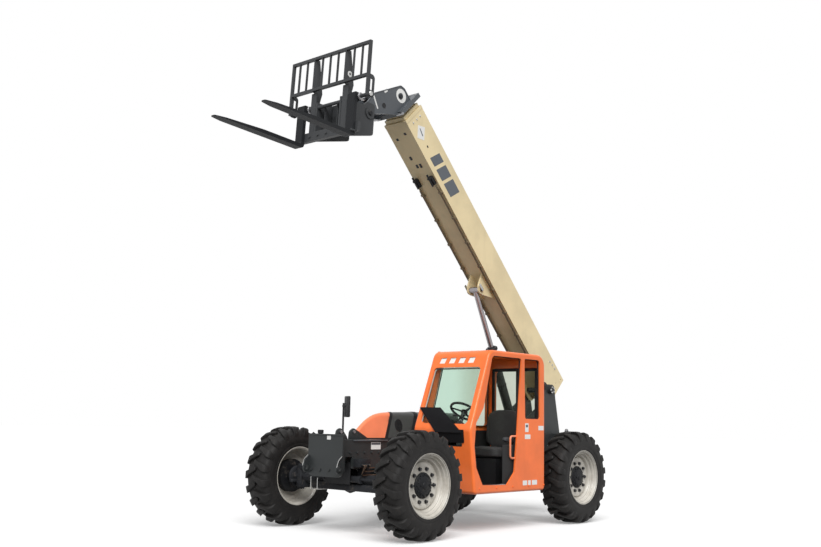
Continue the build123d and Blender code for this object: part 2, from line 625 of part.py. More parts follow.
def hinge_lugs():
    """Pairs of lugs on the tray with the hinge pins between them."""
    solid = None
    for x in HINGE_X:
        for low in (x - 20 - SIDE_GAP, x + HINGE_LEAF + SIDE_GAP):
            foot = front_plate([(1 - PLATE_OUT - BAY_WALL, BAY_TOP - 20, 0), (HINGE_Y, HINGE_Z - HINGE_EYE, 0),
                                (HINGE_Y + HINGE_EYE, HINGE_Z, 0), (5 - PLATE_OUT - BAY_WALL / 2, BAY_TOP - 20, 0)],
                               low, low + 20)
            eye = polygon_x(HINGE_Y, HINGE_Z, HINGE_EYE, low, low + 20)
            solid = foot + eye if solid is None else solid + foot + eye
        solid += rod_x(HINGE_Y, HINGE_Z, HINGE_PIN, x - 20, x + HINGE_LEAF + 20)
    return solid


def hinge_leaves():
    """Leaves on the hood's inner wall, bored for the pins."""
    solid = None
    for x in HINGE_X:
        leaf = polygon_x(HINGE_Y, HINGE_Z, HINGE_EYE, x, x + HINGE_LEAF)
        leaf += block(x, x + HINGE_LEAF, HOOD_INNER - 15, HINGE_Y, HINGE_Z - 6, HINGE_Z + 6)
        leaf -= rod_x(HINGE_Y, HINGE_Z, HINGE_PIN + PIN_GAP, x - 5, x + HINGE_LEAF + 5)
        solid = leaf if solid is None else solid + leaf
    return solid


def engine_block():
    """The engine as one plain block."""
    return block(-620, 420, -880, -420, BAY_FLOOR + BAY_WALL, 1330)


def side_mirror():
    """Mirror on a bent post from the frame's right side."""
    post = bent_bar([(MIRROR_X, -PLATE_OUT, 1060), (MIRROR_X, MIRROR_Y + 40, 1060), (MIRROR_X, MIRROR_Y, 1100),
                     (MIRROR_X, MIRROR_Y, 1600)], 14)
    plate = block(MIRROR_X - 18, MIRROR_X + 18, MIRROR_Y + 4, MIRROR_Y + 96, 1415, 1690)
    return post + plate


# ---------------------------------------------------------------- boom, drawn in its own frame
def boom_box(u0, u1, half_width, low, high):
    """Square tube section along the boom."""
    outer = block(u0, u1, -half_width, half_width, low, high)
    w = BOOM_WALL
    return outer - block(u0 - 5, u1 + 5, -half_width + w, half_width - w, low + w, high - w)


def boom_outer():
    """Outer section with tail plates, lift lug and wear pads at its nose."""
    half = BOOM_WIDTH / 2
    high = BOOM_LOW_N + BOOM_HEIGHT
    solid = boom_box(TAIL_U, NOSE_U, half, BOOM_LOW_N, high)
    tail = [(TAIL_U, BOOM_LOW_N + 5, 0), (TAIL_U, -25, 20), (TAIL_U + 55, -75, 30), (75, -75, 50),
            (430, BOOM_LOW_N + 5, 0)]
    ears = [(LIFT_EYE_U - 330, BOOM_LOW_N + 5, 0), (LIFT_EYE_U - 75, LIFT_EYE_N - 30, 50),
            (LIFT_EYE_U, LIFT_EYE_N - 70, 45), (LIFT_EYE_U + 75, LIFT_EYE_N - 10, 50),
            (LIFT_EYE_U + 150, BOOM_LOW_N + 5, 0)]
    ear_in = LIFT_EYE_HALF + SIDE_GAP
    for side in (-1, 1):
        solid += side_plate(tail, *sorted((side * half, side * (half - 25))))
        solid += side_plate(ears, *sorted((side * ear_in, side * (ear_in + 25))))
        solid += polygon_y(LIFT_EYE_U, LIFT_EYE_N, 40, *sorted((side * ear_in, side * (ear_in + 33))))
    gap = PAD - SEAT_GAP
    inside = half - BOOM_WALL
    for z0 in (BOOM_LOW_N + BOOM_WALL, high - BOOM_WALL - gap):
        solid += block(NOSE_U - 150, NOSE_U - 10, 30 - inside, inside - 30, z0, z0 + gap)
    for u, n in TAIL_HOLES:
        solid -= polygon_y(u, n, 13, -half - 5, half + 5, 8)
    return solid - rod_y(0, 0, PIVOT_RADIUS + PIN_GAP, -half - 5, half + 5)


def inner_section(step, length):
    """Telescoping section: step 1 slides in the outer one and step 2 in that one."""
    inwards = step * (BOOM_WALL + PAD)
    half = BOOM_WIDTH / 2 - inwards
    low = BOOM_LOW_N + inwards
    high = BOOM_LOW_N + BOOM_HEIGHT - inwards
    nose = NOSE_U + step * SECTION_STEP
    solid = boom_box(nose - length, nose, half, low, high)
    gap = PAD - SEAT_GAP
    for z0 in (low - gap, high):
        solid += block(nose - length + 10, nose - length + 150, 30 - half, half - 30, z0, z0 + gap)
    if step == 1:
        inside = half - BOOM_WALL
        for z0 in (low + BOOM_WALL, high - BOOM_WALL - gap):
            solid += block(nose - 150, nose - 10, 30 - inside, inside - 30, z0, z0 + gap)
    return solid


def boom_head():
    """Gooseneck on the fly section: collar plate, two side plates and the cylinder's bosses."""
    start = NOSE_U + 2 * SECTION_STEP
    half = BOOM_WIDTH / 2 + COLLAR_OVER
    solid = block(start, start + COLLAR_THICKNESS, -half, half, BOOM_LOW_N - COLLAR_OVER,
                  BOOM_LOW_N + BOOM_HEIGHT + COLLAR_OVER)
    inner = HEAD_OUT - HEAD_THICKNESS
    plate = [(start + 5, 335, 0), (5272, 339, 60), (5349, 300, 60), (5540, -230, 60),
             (TILT_U + 95, TILT_N - 74, 90), (TILT_U - 90, TILT_N - 74, 80), (5335, -440, 100), (5251, -298, 60),
             (start + 5, -10, 0)]
    for side in (-1, 1):
        solid += side_plate(plate, *sorted((side * inner, side * HEAD_OUT)))
        solid += polygon_y(TILT_U, TILT_N, 60, *sorted((side * inner, side * (HEAD_OUT + 8))))
        solid += polygon_y(TILT_BASE_U, TILT_BASE_N, 45,
                           *sorted((side * (TILT_LUG_HALF + SIDE_GAP), side * (HEAD_OUT + 4))))
    solid += rod_y(TILT_BASE_U, TILT_BASE_N, TILT_CYLINDER_PIN, -inner, inner)
    return solid - rod_y(TILT_U, TILT_N, TILT_PIN_RADIUS + PIN_GAP, -HEAD_OUT - 20, HEAD_OUT + 20)


# ---------------------------------------------------------------- cylinders, x along them from the base pin
def cylinder_barrel(radius, rod, length, eye, lug_half, pin):
    """Barrel with its base eye, neck and gland."""
    neck = eye * 1.6
    solid = rod_y(0, 0, eye, -lug_half, lug_half) + block(0, neck + 10, -lug_half, lug_half, -eye * 0.8, eye * 0.8)
    solid += rod_x(0, 0, radius, neck, length) + rod_x(0, 0, radius + 10, length - 50, length)
    solid -= rod_x(0, 0, radius - CYLINDER_WALL, neck + 40, length - 50)
    solid -= rod_x(0, 0, rod + PIN_GAP, length - 60, length + 5)
    return solid - rod_y(0, 0, pin + PIN_GAP, -lug_half - 5, lug_half + 5)


def cylinder_rod(bore, rod, inner_end, length, eye, lug_half, pin):
    """Piston, rod and eye, with the eye's middle at the full length."""
    solid = rod_x(0, 0, rod, inner_end, length - eye * 0.5)
    solid += rod_x(0, 0, bore - SEAT_GAP, inner_end, inner_end + PISTON_LENGTH)
    solid += rod_y(length, 0, eye, -lug_half, lug_half)
    return solid - rod_y(length, 0, pin + PIN_GAP, -lug_half - 5, lug_half + 5)


# ---------------------------------------------------------------- carriage, drawn in its own frame
def carriage():
    """Fork carriage: pivot ears, tilt lever, cross bars and the fork shaft."""
    low_bar = (CARRIAGE_FRONT - 55, CARRIAGE_FRONT)
    ear = [(-90, 140, 40), (-90, -280, 40), (470, CARRIAGE_LOW, 0), (CARRIAGE_FRONT, CARRIAGE_LOW, 0),
           (CARRIAGE_FRONT, 60, 0), (120, 80, 60), (50, 140, 40)]
    lever = [(-50, -50, 40), (330, -70, 0), (330, 60, 0), (TILT_LEVER_X + 40, TILT_LEVER_Z + 30, 30),
             (TILT_LEVER_X - 38, TILT_LEVER_Z + 38, 30), (-50, 45, 40)]
    solid = rod_y(0, 0, TILT_PIN_RADIUS, -EAR_OUT, EAR_OUT)
    lever_in = TILT_LUG_HALF + SIDE_GAP
    for side in (-1, 1):
        solid += side_plate(ear, *sorted((side * EAR_OUT, side * (EAR_OUT - EAR_THICKNESS))))
        solid += polygon_y(0, 0, 60, *sorted((side * (EAR_OUT - EAR_THICKNESS), side * (EAR_OUT + 12))))
        solid += side_plate(lever, *sorted((side * lever_in, side * (lever_in + 20))))
    solid += block(300, 330, -EAR_OUT, EAR_OUT, -360, 60)
    solid += block(*low_bar, -FORK_Y - 100, FORK_Y + 100, CARRIAGE_LOW, CARRIAGE_LOW + 120)
    for y in (-2 * BAR_PITCH, 2 * BAR_PITCH):
        solid += block(BACKREST_BACK - 14, BACKREST_BACK, y - 45, y + 45, CARRIAGE_LOW + 60, BACKREST_LOW - 20)
    return solid + rod_y(SHAFT_X, SHAFT_Z, SHAFT_RADIUS, -CARRIAGE_HALF, CARRIAGE_HALF)


def backrest():
    """Load backrest welded to the carriage: posts, two bars, upright bars and two deep ribs."""
    back, front = BACKREST_BACK, BACKREST_BACK + 40
    bar = 38
    solid = block(back, front, -CARRIAGE_HALF, CARRIAGE_HALF, BACKREST_TOP - bar, BACKREST_TOP)
    solid += block(back, front, -CARRIAGE_HALF, CARRIAGE_HALF, BACKREST_LOW, BACKREST_LOW + bar)
    for side in (-1, 1):
        solid += block(back, front, *sorted((side * CARRIAGE_HALF, side * (CARRIAGE_HALF - 32))), -30, BACKREST_TOP)
        gusset = side_plate([(back + 5, -40, 0), (back - 90, -40, 40), (back - 90, 256, 50), (back + 5, 256, 0)],
                            *sorted((side * (CARRIAGE_HALF - 8), side * (CARRIAGE_HALF - 24))))
        solid += gusset - side_plate(rectangle(back - 60, back - 15, 50, 200), -CARRIAGE_HALF, CARRIAGE_HALF)
    rib = [(front, 670, 0), (front - 90, 670, 0), (front - 175, 235, 0), (front - 130, 40, 60),
           (back - 35, 40, 0), (front - 90, 180, 60), (front, 225, 0)]
    for k in range(-4, 5):
        y = k * BAR_PITCH
        if abs(k) == 2:
            solid += side_plate(rib, y - 7, y + 7)
        else:
            solid += block(front - 32, front - 2, y - 6, y + 6, BACKREST_LOW + 20, BACKREST_TOP - 20)
    return solid - rod_y(SHAFT_X, SHAFT_Z, SHAFT_RADIUS, -CARRIAGE_HALF - 5, CARRIAGE_HALF + 5)


def fork(y):
    """One fork hung on the shaft: eye, shank and tapered blade."""
    top = FORK_HEEL_Z + FORK_THICKNESS
    tip = FORK_FRONT + FORK_BLADE
    eye = SHAFT_RADIUS + 26
    shape = [(CARRIAGE_FRONT, FORK_HEEL_Z, 45), (tip, FORK_HEEL_Z, 0), (tip, FORK_HEEL_Z + FORK_TIP, 0),
             (FORK_FRONT + FORK_BLADE * 0.45, top, 0), (FORK_FRONT, top, 30), (FORK_FRONT, SHAFT_Z + eye, 20),
             (SHAFT_X - eye, SHAFT_Z + eye, eye * 0.9), (SHAFT_X - eye, SHAFT_Z - eye, eye * 0.8),
             (CARRIAGE_FRONT, SHAFT_Z - eye, 0)]
    half = FORK_WIDTH / 2
    blade = side_plate(shape, y - half, y + half)
    plan = flat_plate([(SHAFT_X - 100, y - half, 0), (tip - 160, y - half, 60), (tip, y - half * 0.55, 20),
                       (tip, y + half * 0.55, 20), (tip - 160, y + half, 60), (SHAFT_X - 100, y + half, 0)],
                      FORK_HEEL_Z - 10, SHAFT_Z + 200)
    return (blade & plan) - rod_y(SHAFT_X, SHAFT_Z, SHAFT_RADIUS + SEAT_GAP, y - half - 5, y + half + 5)


# ---------------------------------------------------------------- assembly
def build_all():
    """Every node by name, drawn about the middle of the wheelbase."""
    nodes = {
        "chassis_frame": chassis_frame(), "nose_box": nose_box(), "counterweight": counterweight(),
        "drive_line": drive_line(),
        "cab_shell": cab_shell(), "cab_glass": cab_glass(), "dash_console": dash_console(),
        "dash_shield": dash_shield(), "steering_wheel": steering_wheel(), "seat_base": seat_base(),
        "seat_cushion": seat_cushion(), "seat_back": seat_back(), "grab_handle": grab_handle(),
        "engine_bay": engine_bay(), "engine_block": engine_block(), "side_mirror": side_mirror(),
    }
    hood, ahead = hood_shell(), hood_joint(SEAT_GAP / 2)
    nodes["hood_nose"] = hood & ahead
    nodes["hood_main"] = (hood - hood_joint(-SEAT_GAP / 2)) + hinge_leaves()
    tread, rim, swivel = tyre(), wheel(), knuckle()
    for end, x in (("front", HALF_BASE), ("rear", -HALF_BASE)):
        nodes[f"{end}_axle"] = Pos(x, 0, TYRE_RADIUS) * axle(-1 if end == "front" else 1)
        for hand, side, turn in (("left", 1, 0), ("right", -1, 180)):
            spot = Pos(x, side * HALF_TRACK, TYRE_RADIUS)
            nodes[f"{end}_{hand}_knuckle"] = spot * Rot(0, 0, turn) * swivel
            nodes[f"{end}_{hand}_wheel"] = spot * Rot(0, 0, turn) * rim
            nodes[f"{end}_{hand}_tyre"] = spot * tread
    nodes["boom_outer"] = BOOM * boom_outer()
    nodes["boom_mid"] = BOOM * inner_section(1, MID_LENGTH)
    nodes["boom_fly"] = BOOM * inner_section(2, FLY_LENGTH)
    nodes["boom_head"] = BOOM * boom_head()
    nodes["lift_barrel"] = LIFT * cylinder_barrel(LIFT_RADIUS, LIFT_ROD_RADIUS, LIFT_BARREL, LIFT_BASE_EYE,
                                                  LIFT_LUG_HALF, LIFT_PIN_RADIUS)
    nodes["lift_rod"] = LIFT * cylinder_rod(LIFT_RADIUS - CYLINDER_WALL, LIFT_ROD_RADIUS, LIFT_ROD_START,
                                            LIFT_LENGTH, LIFT_EYE_RADIUS, LIFT_EYE_HALF, LIFT_PIN_RADIUS)
    nodes["tilt_barrel"] = TILT * cylinder_barrel(TILT_RADIUS, TILT_ROD_RADIUS, TILT_BARREL, TILT_BASE_EYE,
                                                  TILT_LUG_HALF, TILT_CYLINDER_PIN)
    nodes["tilt_rod"] = TILT * cylinder_rod(TILT_RADIUS - CYLINDER_WALL, TILT_ROD_RADIUS, TILT_ROD_START,
                                            TILT_LENGTH, TILT_EYE_RADIUS, TILT_LUG_HALF, TILT_CYLINDER_PIN)
    nodes["carriage"] = CARRIAGE * carriage()
    nodes["backrest"] = CARRIAGE * (backrest() - carriage())
    nodes["left_fork"] = CARRIAGE * fork(FORK_Y)
    nodes["right_fork"] = CARRIAGE * fork(-FORK_Y)
    return nodes


def main():
    """Stands the machine on the ground about its own middle and writes one file per node."""
    os.makedirs("parts", exist_ok=True)
    nodes = build_all()
    ground = nodes["front_left_tyre"].bounding_box().min.Z
    for name, shape in nodes.items():
        pieces = shape if isinstance(shape, list) else [shape]
        moved = Compound([Pos(-ORIGIN_X, 0, -ground) * piece for piece in pieces]) if len(pieces) > 1 \
            else Pos(-ORIGIN_X, 0, -ground) * pieces[0]
        export_step(moved, f"parts/{name}.step")
    print("origin_x", round(ORIGIN_X, 4), "ground", round(ground, 4))
    print("lift", round(LIFT_ANGLE, 3), round(LIFT_LENGTH, 2), "tilt", round(TILT_ANGLE, 3), round(TILT_LENGTH, 2))


main()
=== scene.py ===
"""Looks of a rough-terrain telehandler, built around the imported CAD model.

Every sub-assembly is a class that holds its own sizes and dresses the CAD nodes it stands for.
Metres throughout, +X forward, +Y to the machine's left, +Z up, ground at z = 0.
"""
import enum
import json
import logging
import math
from dataclasses import dataclass
from typing import ClassVar, Iterable, Sequence

import bmesh
import bpy
from mathutils import Matrix, Vector


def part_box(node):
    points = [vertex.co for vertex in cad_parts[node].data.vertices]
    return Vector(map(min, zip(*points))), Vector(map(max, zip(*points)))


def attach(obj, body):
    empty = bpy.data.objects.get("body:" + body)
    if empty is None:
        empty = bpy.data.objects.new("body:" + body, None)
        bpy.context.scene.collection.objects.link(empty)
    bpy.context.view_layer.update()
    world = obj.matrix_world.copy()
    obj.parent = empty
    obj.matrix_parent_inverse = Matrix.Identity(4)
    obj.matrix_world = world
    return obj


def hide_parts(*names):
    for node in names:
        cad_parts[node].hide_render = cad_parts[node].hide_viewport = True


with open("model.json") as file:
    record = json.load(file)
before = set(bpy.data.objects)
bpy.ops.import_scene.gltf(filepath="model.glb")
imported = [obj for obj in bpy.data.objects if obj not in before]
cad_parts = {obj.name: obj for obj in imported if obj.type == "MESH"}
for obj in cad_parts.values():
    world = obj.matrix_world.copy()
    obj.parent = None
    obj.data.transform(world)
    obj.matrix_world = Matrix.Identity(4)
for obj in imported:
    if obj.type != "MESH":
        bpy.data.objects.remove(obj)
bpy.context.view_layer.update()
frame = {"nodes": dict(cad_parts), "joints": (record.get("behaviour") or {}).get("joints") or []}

LOG = logging.getLogger("telehandler")

Colour = tuple[float, float, float]
Point = tuple[float, float, float]
Flat = tuple[float, float]
Mesh = bpy.types.Mesh
BMesh = bmesh.types.BMesh
Object = bpy.types.Object
Material = bpy.types.Material
Socket = bpy.types.NodeSocket
Tree = bpy.types.NodeTree


# ---------------------------------------------------------------- shader maths
class Value:
    """A number that varies over a surface: one output socket with Python's operators."""

    def __init__(self, graph: "Graph", socket: Socket) -> None:
        """Wraps one output socket of a graph."""
        self.graph = graph
        self.socket = socket

    def _math(self, operation: str, *values: object) -> "Value":
        """Adds one Math node.

        Args:
            operation: the Math node's operation.
            values: numbers or Values, in the order of its sockets.

        Returns:
            The node's result.
        """
        return self.graph.add("ShaderNodeMath", {"operation": operation}, dict(enumerate(values)))

    def __add__(self, other: object) -> "Value":
        """Sum."""
        return self._math("ADD", self, other)

    def __sub__(self, other: object) -> "Value":
        """Difference."""
        return self._math("SUBTRACT", self, other)

    def __rsub__(self, other: object) -> "Value":
        """Reflected difference."""
        return self._math("SUBTRACT", other, self)

    def __mul__(self, other: object) -> "Value":
        """Product."""
        return self._math("MULTIPLY", self, other)

    __radd__ = __add__
    __rmul__ = __mul__

    def sine(self) -> "Value":
        """Sine of the value in radians."""
        return self._math("SINE", self)

    def step(self, low: float, high: float) -> "Value":
        """Smooth 0 to 1 as the value goes from low to high."""
        return self.graph.add("ShaderNodeMapRange", {"interpolation_type": "SMOOTHSTEP"},
                              {0: self, 1: low, 2: high, 3: 0.0, 4: 1.0})


class Graph:
    """One material's node tree, with a Principled shader at its end."""

    def __init__(self, name: str) -> None:
        """Makes an empty material.

        Args:
            name: the material's name.
        """
        self.material = bpy.data.materials.new(name)
        self.material.use_nodes = True
        self.tree = self.material.node_tree
        self.tree.nodes.clear()
        self.shader = self.tree.nodes.new("ShaderNodeBsdfPrincipled")
        self.output = self.tree.nodes.new("ShaderNodeOutputMaterial")
        self.tree.links.new(self.shader.outputs[0], self.output.inputs[0])

    def add(self, kind: str, settings: dict[str, object] | None = None,
            inputs: dict[object, object] | None = None, output: int | str = 0) -> Value:
        """Adds any node.

        Args:
            kind: the node's type.
            settings: its properties, set before its sockets.
            inputs: values or links by socket index or name.
            output: the output socket to hand back.

        Returns:
            The chosen output.
        """
        node = self.tree.nodes.new(kind)
        for key, value in (settings or {}).items():
            if key == "stops":
                ramp = node.color_ramp
                while len(ramp.elements) < len(value):
                    ramp.elements.new(0.5)
                for element, (place, colour) in zip(ramp.elements, value):
                    element.position = place
                    element.color = colour if len(colour) == 4 else (*colour, 1.0)
            else:
                setattr(node, key, value)
        for key, value in (inputs or {}).items():
            self.feed(node.inputs[key], value)
        return Value(self, node.outputs[output])

    def feed(self, socket: Socket, value: object) -> None:
        """Links or sets one input socket.

        Args:
            socket: the input socket.
            value: a Value to link, or a plain value to set.
        """
        if isinstance(value, Value):
            self.tree.links.new(value.socket, socket)
        elif isinstance(value, (tuple, list)) and socket.type == "RGBA" and len(value) == 3:
            socket.default_value = (*value, 1.0)
        else:
            socket.default_value = value

    def place(self) -> Value:
        """Object coordinates."""
        return self.add("ShaderNodeTexCoord", output="Object")

    def axis(self, name: str) -> Value:
        """One of the object coordinates X, Y or Z."""
        return self.add("ShaderNodeSeparateXYZ", None, {0: self.place()}, name)

    def noise(self, scale: float, detail: float = 3.0, roughness: float = 0.55,
              stretch: Point = (1, 1, 1)) -> Value:
        """Fractal noise over the object.

        Args:
            scale: cells to a metre.
            detail: octaves.
            roughness: weight of the finer octaves.
            stretch: scale of each axis.

        Returns:
            The noise, near 0.5.
        """
        spot = self.add("ShaderNodeMapping", None, {0: self.place(), 3: stretch})
        return self.add("ShaderNodeTexNoise", None, {"Vector": spot, "Scale": scale, "Detail": detail,
                                                     "Roughness": roughness})

    def mix(self, low: object, high: object, amount: object) -> Value:
        """Blend of two colours."""
        return self.add("ShaderNodeMix", {"data_type": "RGBA"}, {0: amount, 6: low, 7: high}, 2)

    def bump(self, height: object, distance: float, strength: float = 1.0) -> Value:
        """Bumped normal from a height."""
        return self.add("ShaderNodeBump", None, {"Strength": strength, "Distance": distance, "Height": height})

    def finish(self, **inputs: object) -> Material:
        """Sets the Principled shader's sockets.

        Args:
            **inputs: values or Values by socket name, with underscores for spaces.

        Returns:
            The finished material.
        """
        for key, value in inputs.items():
            self.feed(self.shader.inputs[key.replace("_", " ")], value)
        return self.material


def shade(colour: Colour, factor: float) -> Colour:
    """The colour made lighter or darker."""
    return tuple(min(1.0, max(0.0, c * factor)) for c in colour)


@dataclass(frozen=True)
class Finish:
    """What a surface is made of: its name and the record's material slot that it mostly stands for."""

    name: str
    slot: str

    def build(self) -> Material:
        """Makes the material."""
        raise NotImplementedError


@dataclass(frozen=True)
class Paint(Finish):
    """Gloss or satin machine paint with orange peel, faint mottling and dust low down."""

    colour: Colour
    roughness: float = 0.34
    dust: Colour = (0.32, 0.27, 0.21)
    dust_top: float = 1.0
    dust_amount: float = 0.35
    mottle: float = 0.07
    coat: float = 0.25
    gloss: float = 0.5

    def build(self) -> Material:
        """Makes the material.

        Returns:
            A new material.
        """
        g = Graph(self.name)
        broad = g.noise(1.7, 4.0, 0.6)
        fine = g.noise(38.0, 3.0, 0.6)
        base = g.mix(shade(self.colour, 1.0 - self.mottle), shade(self.colour, 1.0 + self.mottle),
                     broad.step(0.35, 0.65))
        streak = g.noise(9.0, 3.0, 0.6, (1.0, 1.0, 0.12)).step(0.52, 0.74)
        base = g.mix(base, shade(self.colour, 0.82), streak * 0.22)
        low = 1.0 - g.axis("Z").step(0.1, self.dust_top)
        grime = low * (0.35 + g.noise(5.0, 5.0, 0.65).step(0.38, 0.7)) * self.dust_amount
        specks = g.noise(160.0, 2.0, 0.7).step(0.66, 0.74) * 0.10
        cover = (grime + specks).step(0.0, 1.2)
        base = g.mix(base, self.dust, cover)
        rough = self.roughness + (fine - 0.5) * 0.12 + cover * 0.4
        peel = g.noise(220.0, 2.0, 0.5)
        return g.finish(Base_Color=base, Roughness=rough, Normal=g.bump(peel, 0.0004, 0.35),
                        Coat_Weight=self.coat, Coat_Roughness=0.12, Specular_IOR_Level=self.gloss)


@dataclass(frozen=True)
class RimPaint(Finish):
    """Pale rim paint with road grime and darker rust stains in patches."""

    colour: Colour

    def build(self) -> Material:
        """Makes the material.

        Returns:
            A new material.
        """
        g = Graph(self.name)
        base = g.mix(shade(self.colour, 0.90), shade(self.colour, 1.06), g.noise(3.0, 4.0).step(0.35, 0.65))
        grime = g.noise(7.0, 5.0, 0.65).step(0.44, 0.72) * 0.42
        stain = g.noise(28.0, 4.0, 0.7).step(0.6, 0.72) * 0.18
        base = g.mix(base, (0.24, 0.20, 0.15), (grime + stain).step(0.0, 1.0))
        return g.finish(Base_Color=base, Roughness=0.36 + grime * 0.6,
                        Normal=g.bump(g.noise(180.0, 2.0), 0.0005, 0.4), Coat_Weight=0.15)


@dataclass(frozen=True)
class Rubber(Finish):
    """Tyre rubber: near black, dull, with dusty patches."""

    colour: Colour = (0.0095, 0.0088, 0.0085)
    dust: Colour = (0.070, 0.061, 0.053)
    roughness: float = 0.60

    def build(self) -> Material:
        """Makes the material.

        Returns:
            A new material.
        """
        g = Graph(self.name)
        patch = g.noise(6.0, 5.0, 0.65).step(0.42, 0.75)
        grain = g.noise(140.0, 3.0, 0.65)
        base = g.mix(self.colour, shade(self.colour, 2.3), patch * 0.7)
        base = g.mix(base, self.dust, g.noise(17.0, 5.0, 0.7).step(0.55, 0.8) * 0.34)
        return g.finish(Base_Color=base, Roughness=self.roughness + (grain - 0.5) * 0.25 + patch * 0.08,
                        Normal=g.bump(grain, 0.0018, 0.55), Specular_IOR_Level=0.22)


@dataclass(frozen=True)
class Metal(Finish):
    """Bare or plated metal with fine lines along one axis."""

    colour: Colour
    roughness: float
    lines: Point = (1.0, 1.0, 30.0)
    metallic: float = 1.0

    def build(self) -> Material:
        """Makes the material.

        Returns:
            A new material.
        """
        g = Graph(self.name)
        line = g.noise(26.0, 3.0, 0.6, self.lines)
        smear = g.noise(4.0, 4.0, 0.6).step(0.4, 0.72)
        base = g.mix(self.colour, shade(self.colour, 0.72), smear * 0.45)
        return g.finish(Base_Color=base, Metallic=self.metallic,
                        Roughness=self.roughness + (line - 0.5) * 0.12 + smear * 0.09,
                        Normal=g.bump(line, 0.0003, 0.3))


@dataclass(frozen=True)
class Casting(Finish):
    """Painted casting: sandy bump, oily patches and dust."""

    colour: Colour
    roughness: float = 0.55

    def build(self) -> Material:
        """Makes the material.

        Returns:
            A new material.
        """
        g = Graph(self.name)
        sand = g.noise(95.0, 4.0, 0.7)
        oil = g.noise(3.5, 4.0, 0.6).step(0.5, 0.68)
        base = g.mix(self.colour, shade(self.colour, 0.45), oil * 0.6)
        base = g.mix(base, (0.20, 0.17, 0.14), g.noise(9.0, 5.0, 0.7).step(0.55, 0.78) * 0.4)
        return g.finish(Base_Color=base, Roughness=self.roughness + (sand - 0.5) * 0.2 - oil * 0.2,
                        Normal=g.bump(sand, 0.0016, 0.6), Specular_IOR_Level=0.16)


@dataclass(frozen=True)
class Plastic(Finish):
    """Grained black or grey plastic."""

    colour: Colour
    roughness: float = 0.5
    grain: float = 260.0
    gloss: float = 0.35

    def build(self) -> Material:
        """Makes the material.

        Returns:
            A new material.
        """
        g = Graph(self.name)
        pore = g.add("ShaderNodeTexVoronoi", None, {"Vector": g.place(), "Scale": self.grain})
        scuff = g.noise(12.0, 4.0, 0.65).step(0.5, 0.76)
        return g.finish(Base_Color=g.mix(self.colour, shade(self.colour, 1.9), scuff * 0.5),
                        Roughness=self.roughness + scuff * 0.14, Normal=g.bump(pore, 0.0005, 0.5),
                        Specular_IOR_Level=self.gloss)


@dataclass(frozen=True)
class Cloth(Finish):
    """Woven seat cover."""

    colour: Colour
    threads: float = 420.0

    def build(self) -> Material:
        """Makes the material.

        Returns:
            A new material.
        """
        g = Graph(self.name)
        warp = (g.axis("Y") * (self.threads * math.tau)).sine()
        weft = ((g.axis("Z") + g.axis("X")) * (self.threads * math.tau)).sine()
        weave = (warp * weft + 1.0) * 0.5
        worn = g.noise(5.0, 4.0, 0.6).step(0.42, 0.7)
        base = g.mix(shade(self.colour, 0.75), shade(self.colour, 1.35), weave)
        base = g.mix(base, shade(self.colour, 1.9), worn * 0.35)
        return g.finish(Base_Color=base, Roughness=0.86 - worn * 0.1, Normal=g.bump(weave, 0.0007, 0.6),
                        Sheen_Weight=0.06, Sheen_Roughness=0.5, Specular_IOR_Level=0.3)


@dataclass(frozen=True)
class Glazing(Finish):
    """Tinted safety glass with a dusty film; towards the rear of the cab its tint darkens into painted shade
    that stands in for the dark things seen in the rear windows.
    """

    tint: Colour
    painted_rear_shade: Colour
    front: float = -0.30
    rear: float = -0.95

    def build(self) -> Material:
        """Makes the material.

        Returns:
            A new material.
        """
        g = Graph(self.name)
        film = g.noise(2.4, 5.0, 0.6).step(0.35, 0.75)
        # painted shade: towards the rear of the cab the glass takes the darker colour, standing in for the dark
        # things seen in the rear windows
        body = g.mix(self.painted_rear_shade, self.tint, g.axis("X").step(self.rear, self.front))
        body = g.mix(body, shade(self.tint, 1.05), film * 0.25)
        return g.finish(Base_Color=body, Roughness=0.02 + film * 0.03, Transmission_Weight=1.0, IOR=1.16)


@dataclass(frozen=True)
class Decal(Finish):
    """Blank vinyl decal."""

    colour: Colour

    def build(self) -> Material:
        """Makes the material.

        Returns:
            A new material.
        """
        g = Graph(self.name)
        scuff = g.noise(30.0, 4.0, 0.65).step(0.52, 0.75)
        return g.finish(Base_Color=g.mix(self.colour, shade(self.colour, 0.8), scuff * 0.4),
                        Roughness=0.38 + scuff * 0.25, Normal=g.bump(g.noise(90.0), 0.0003, 0.3))


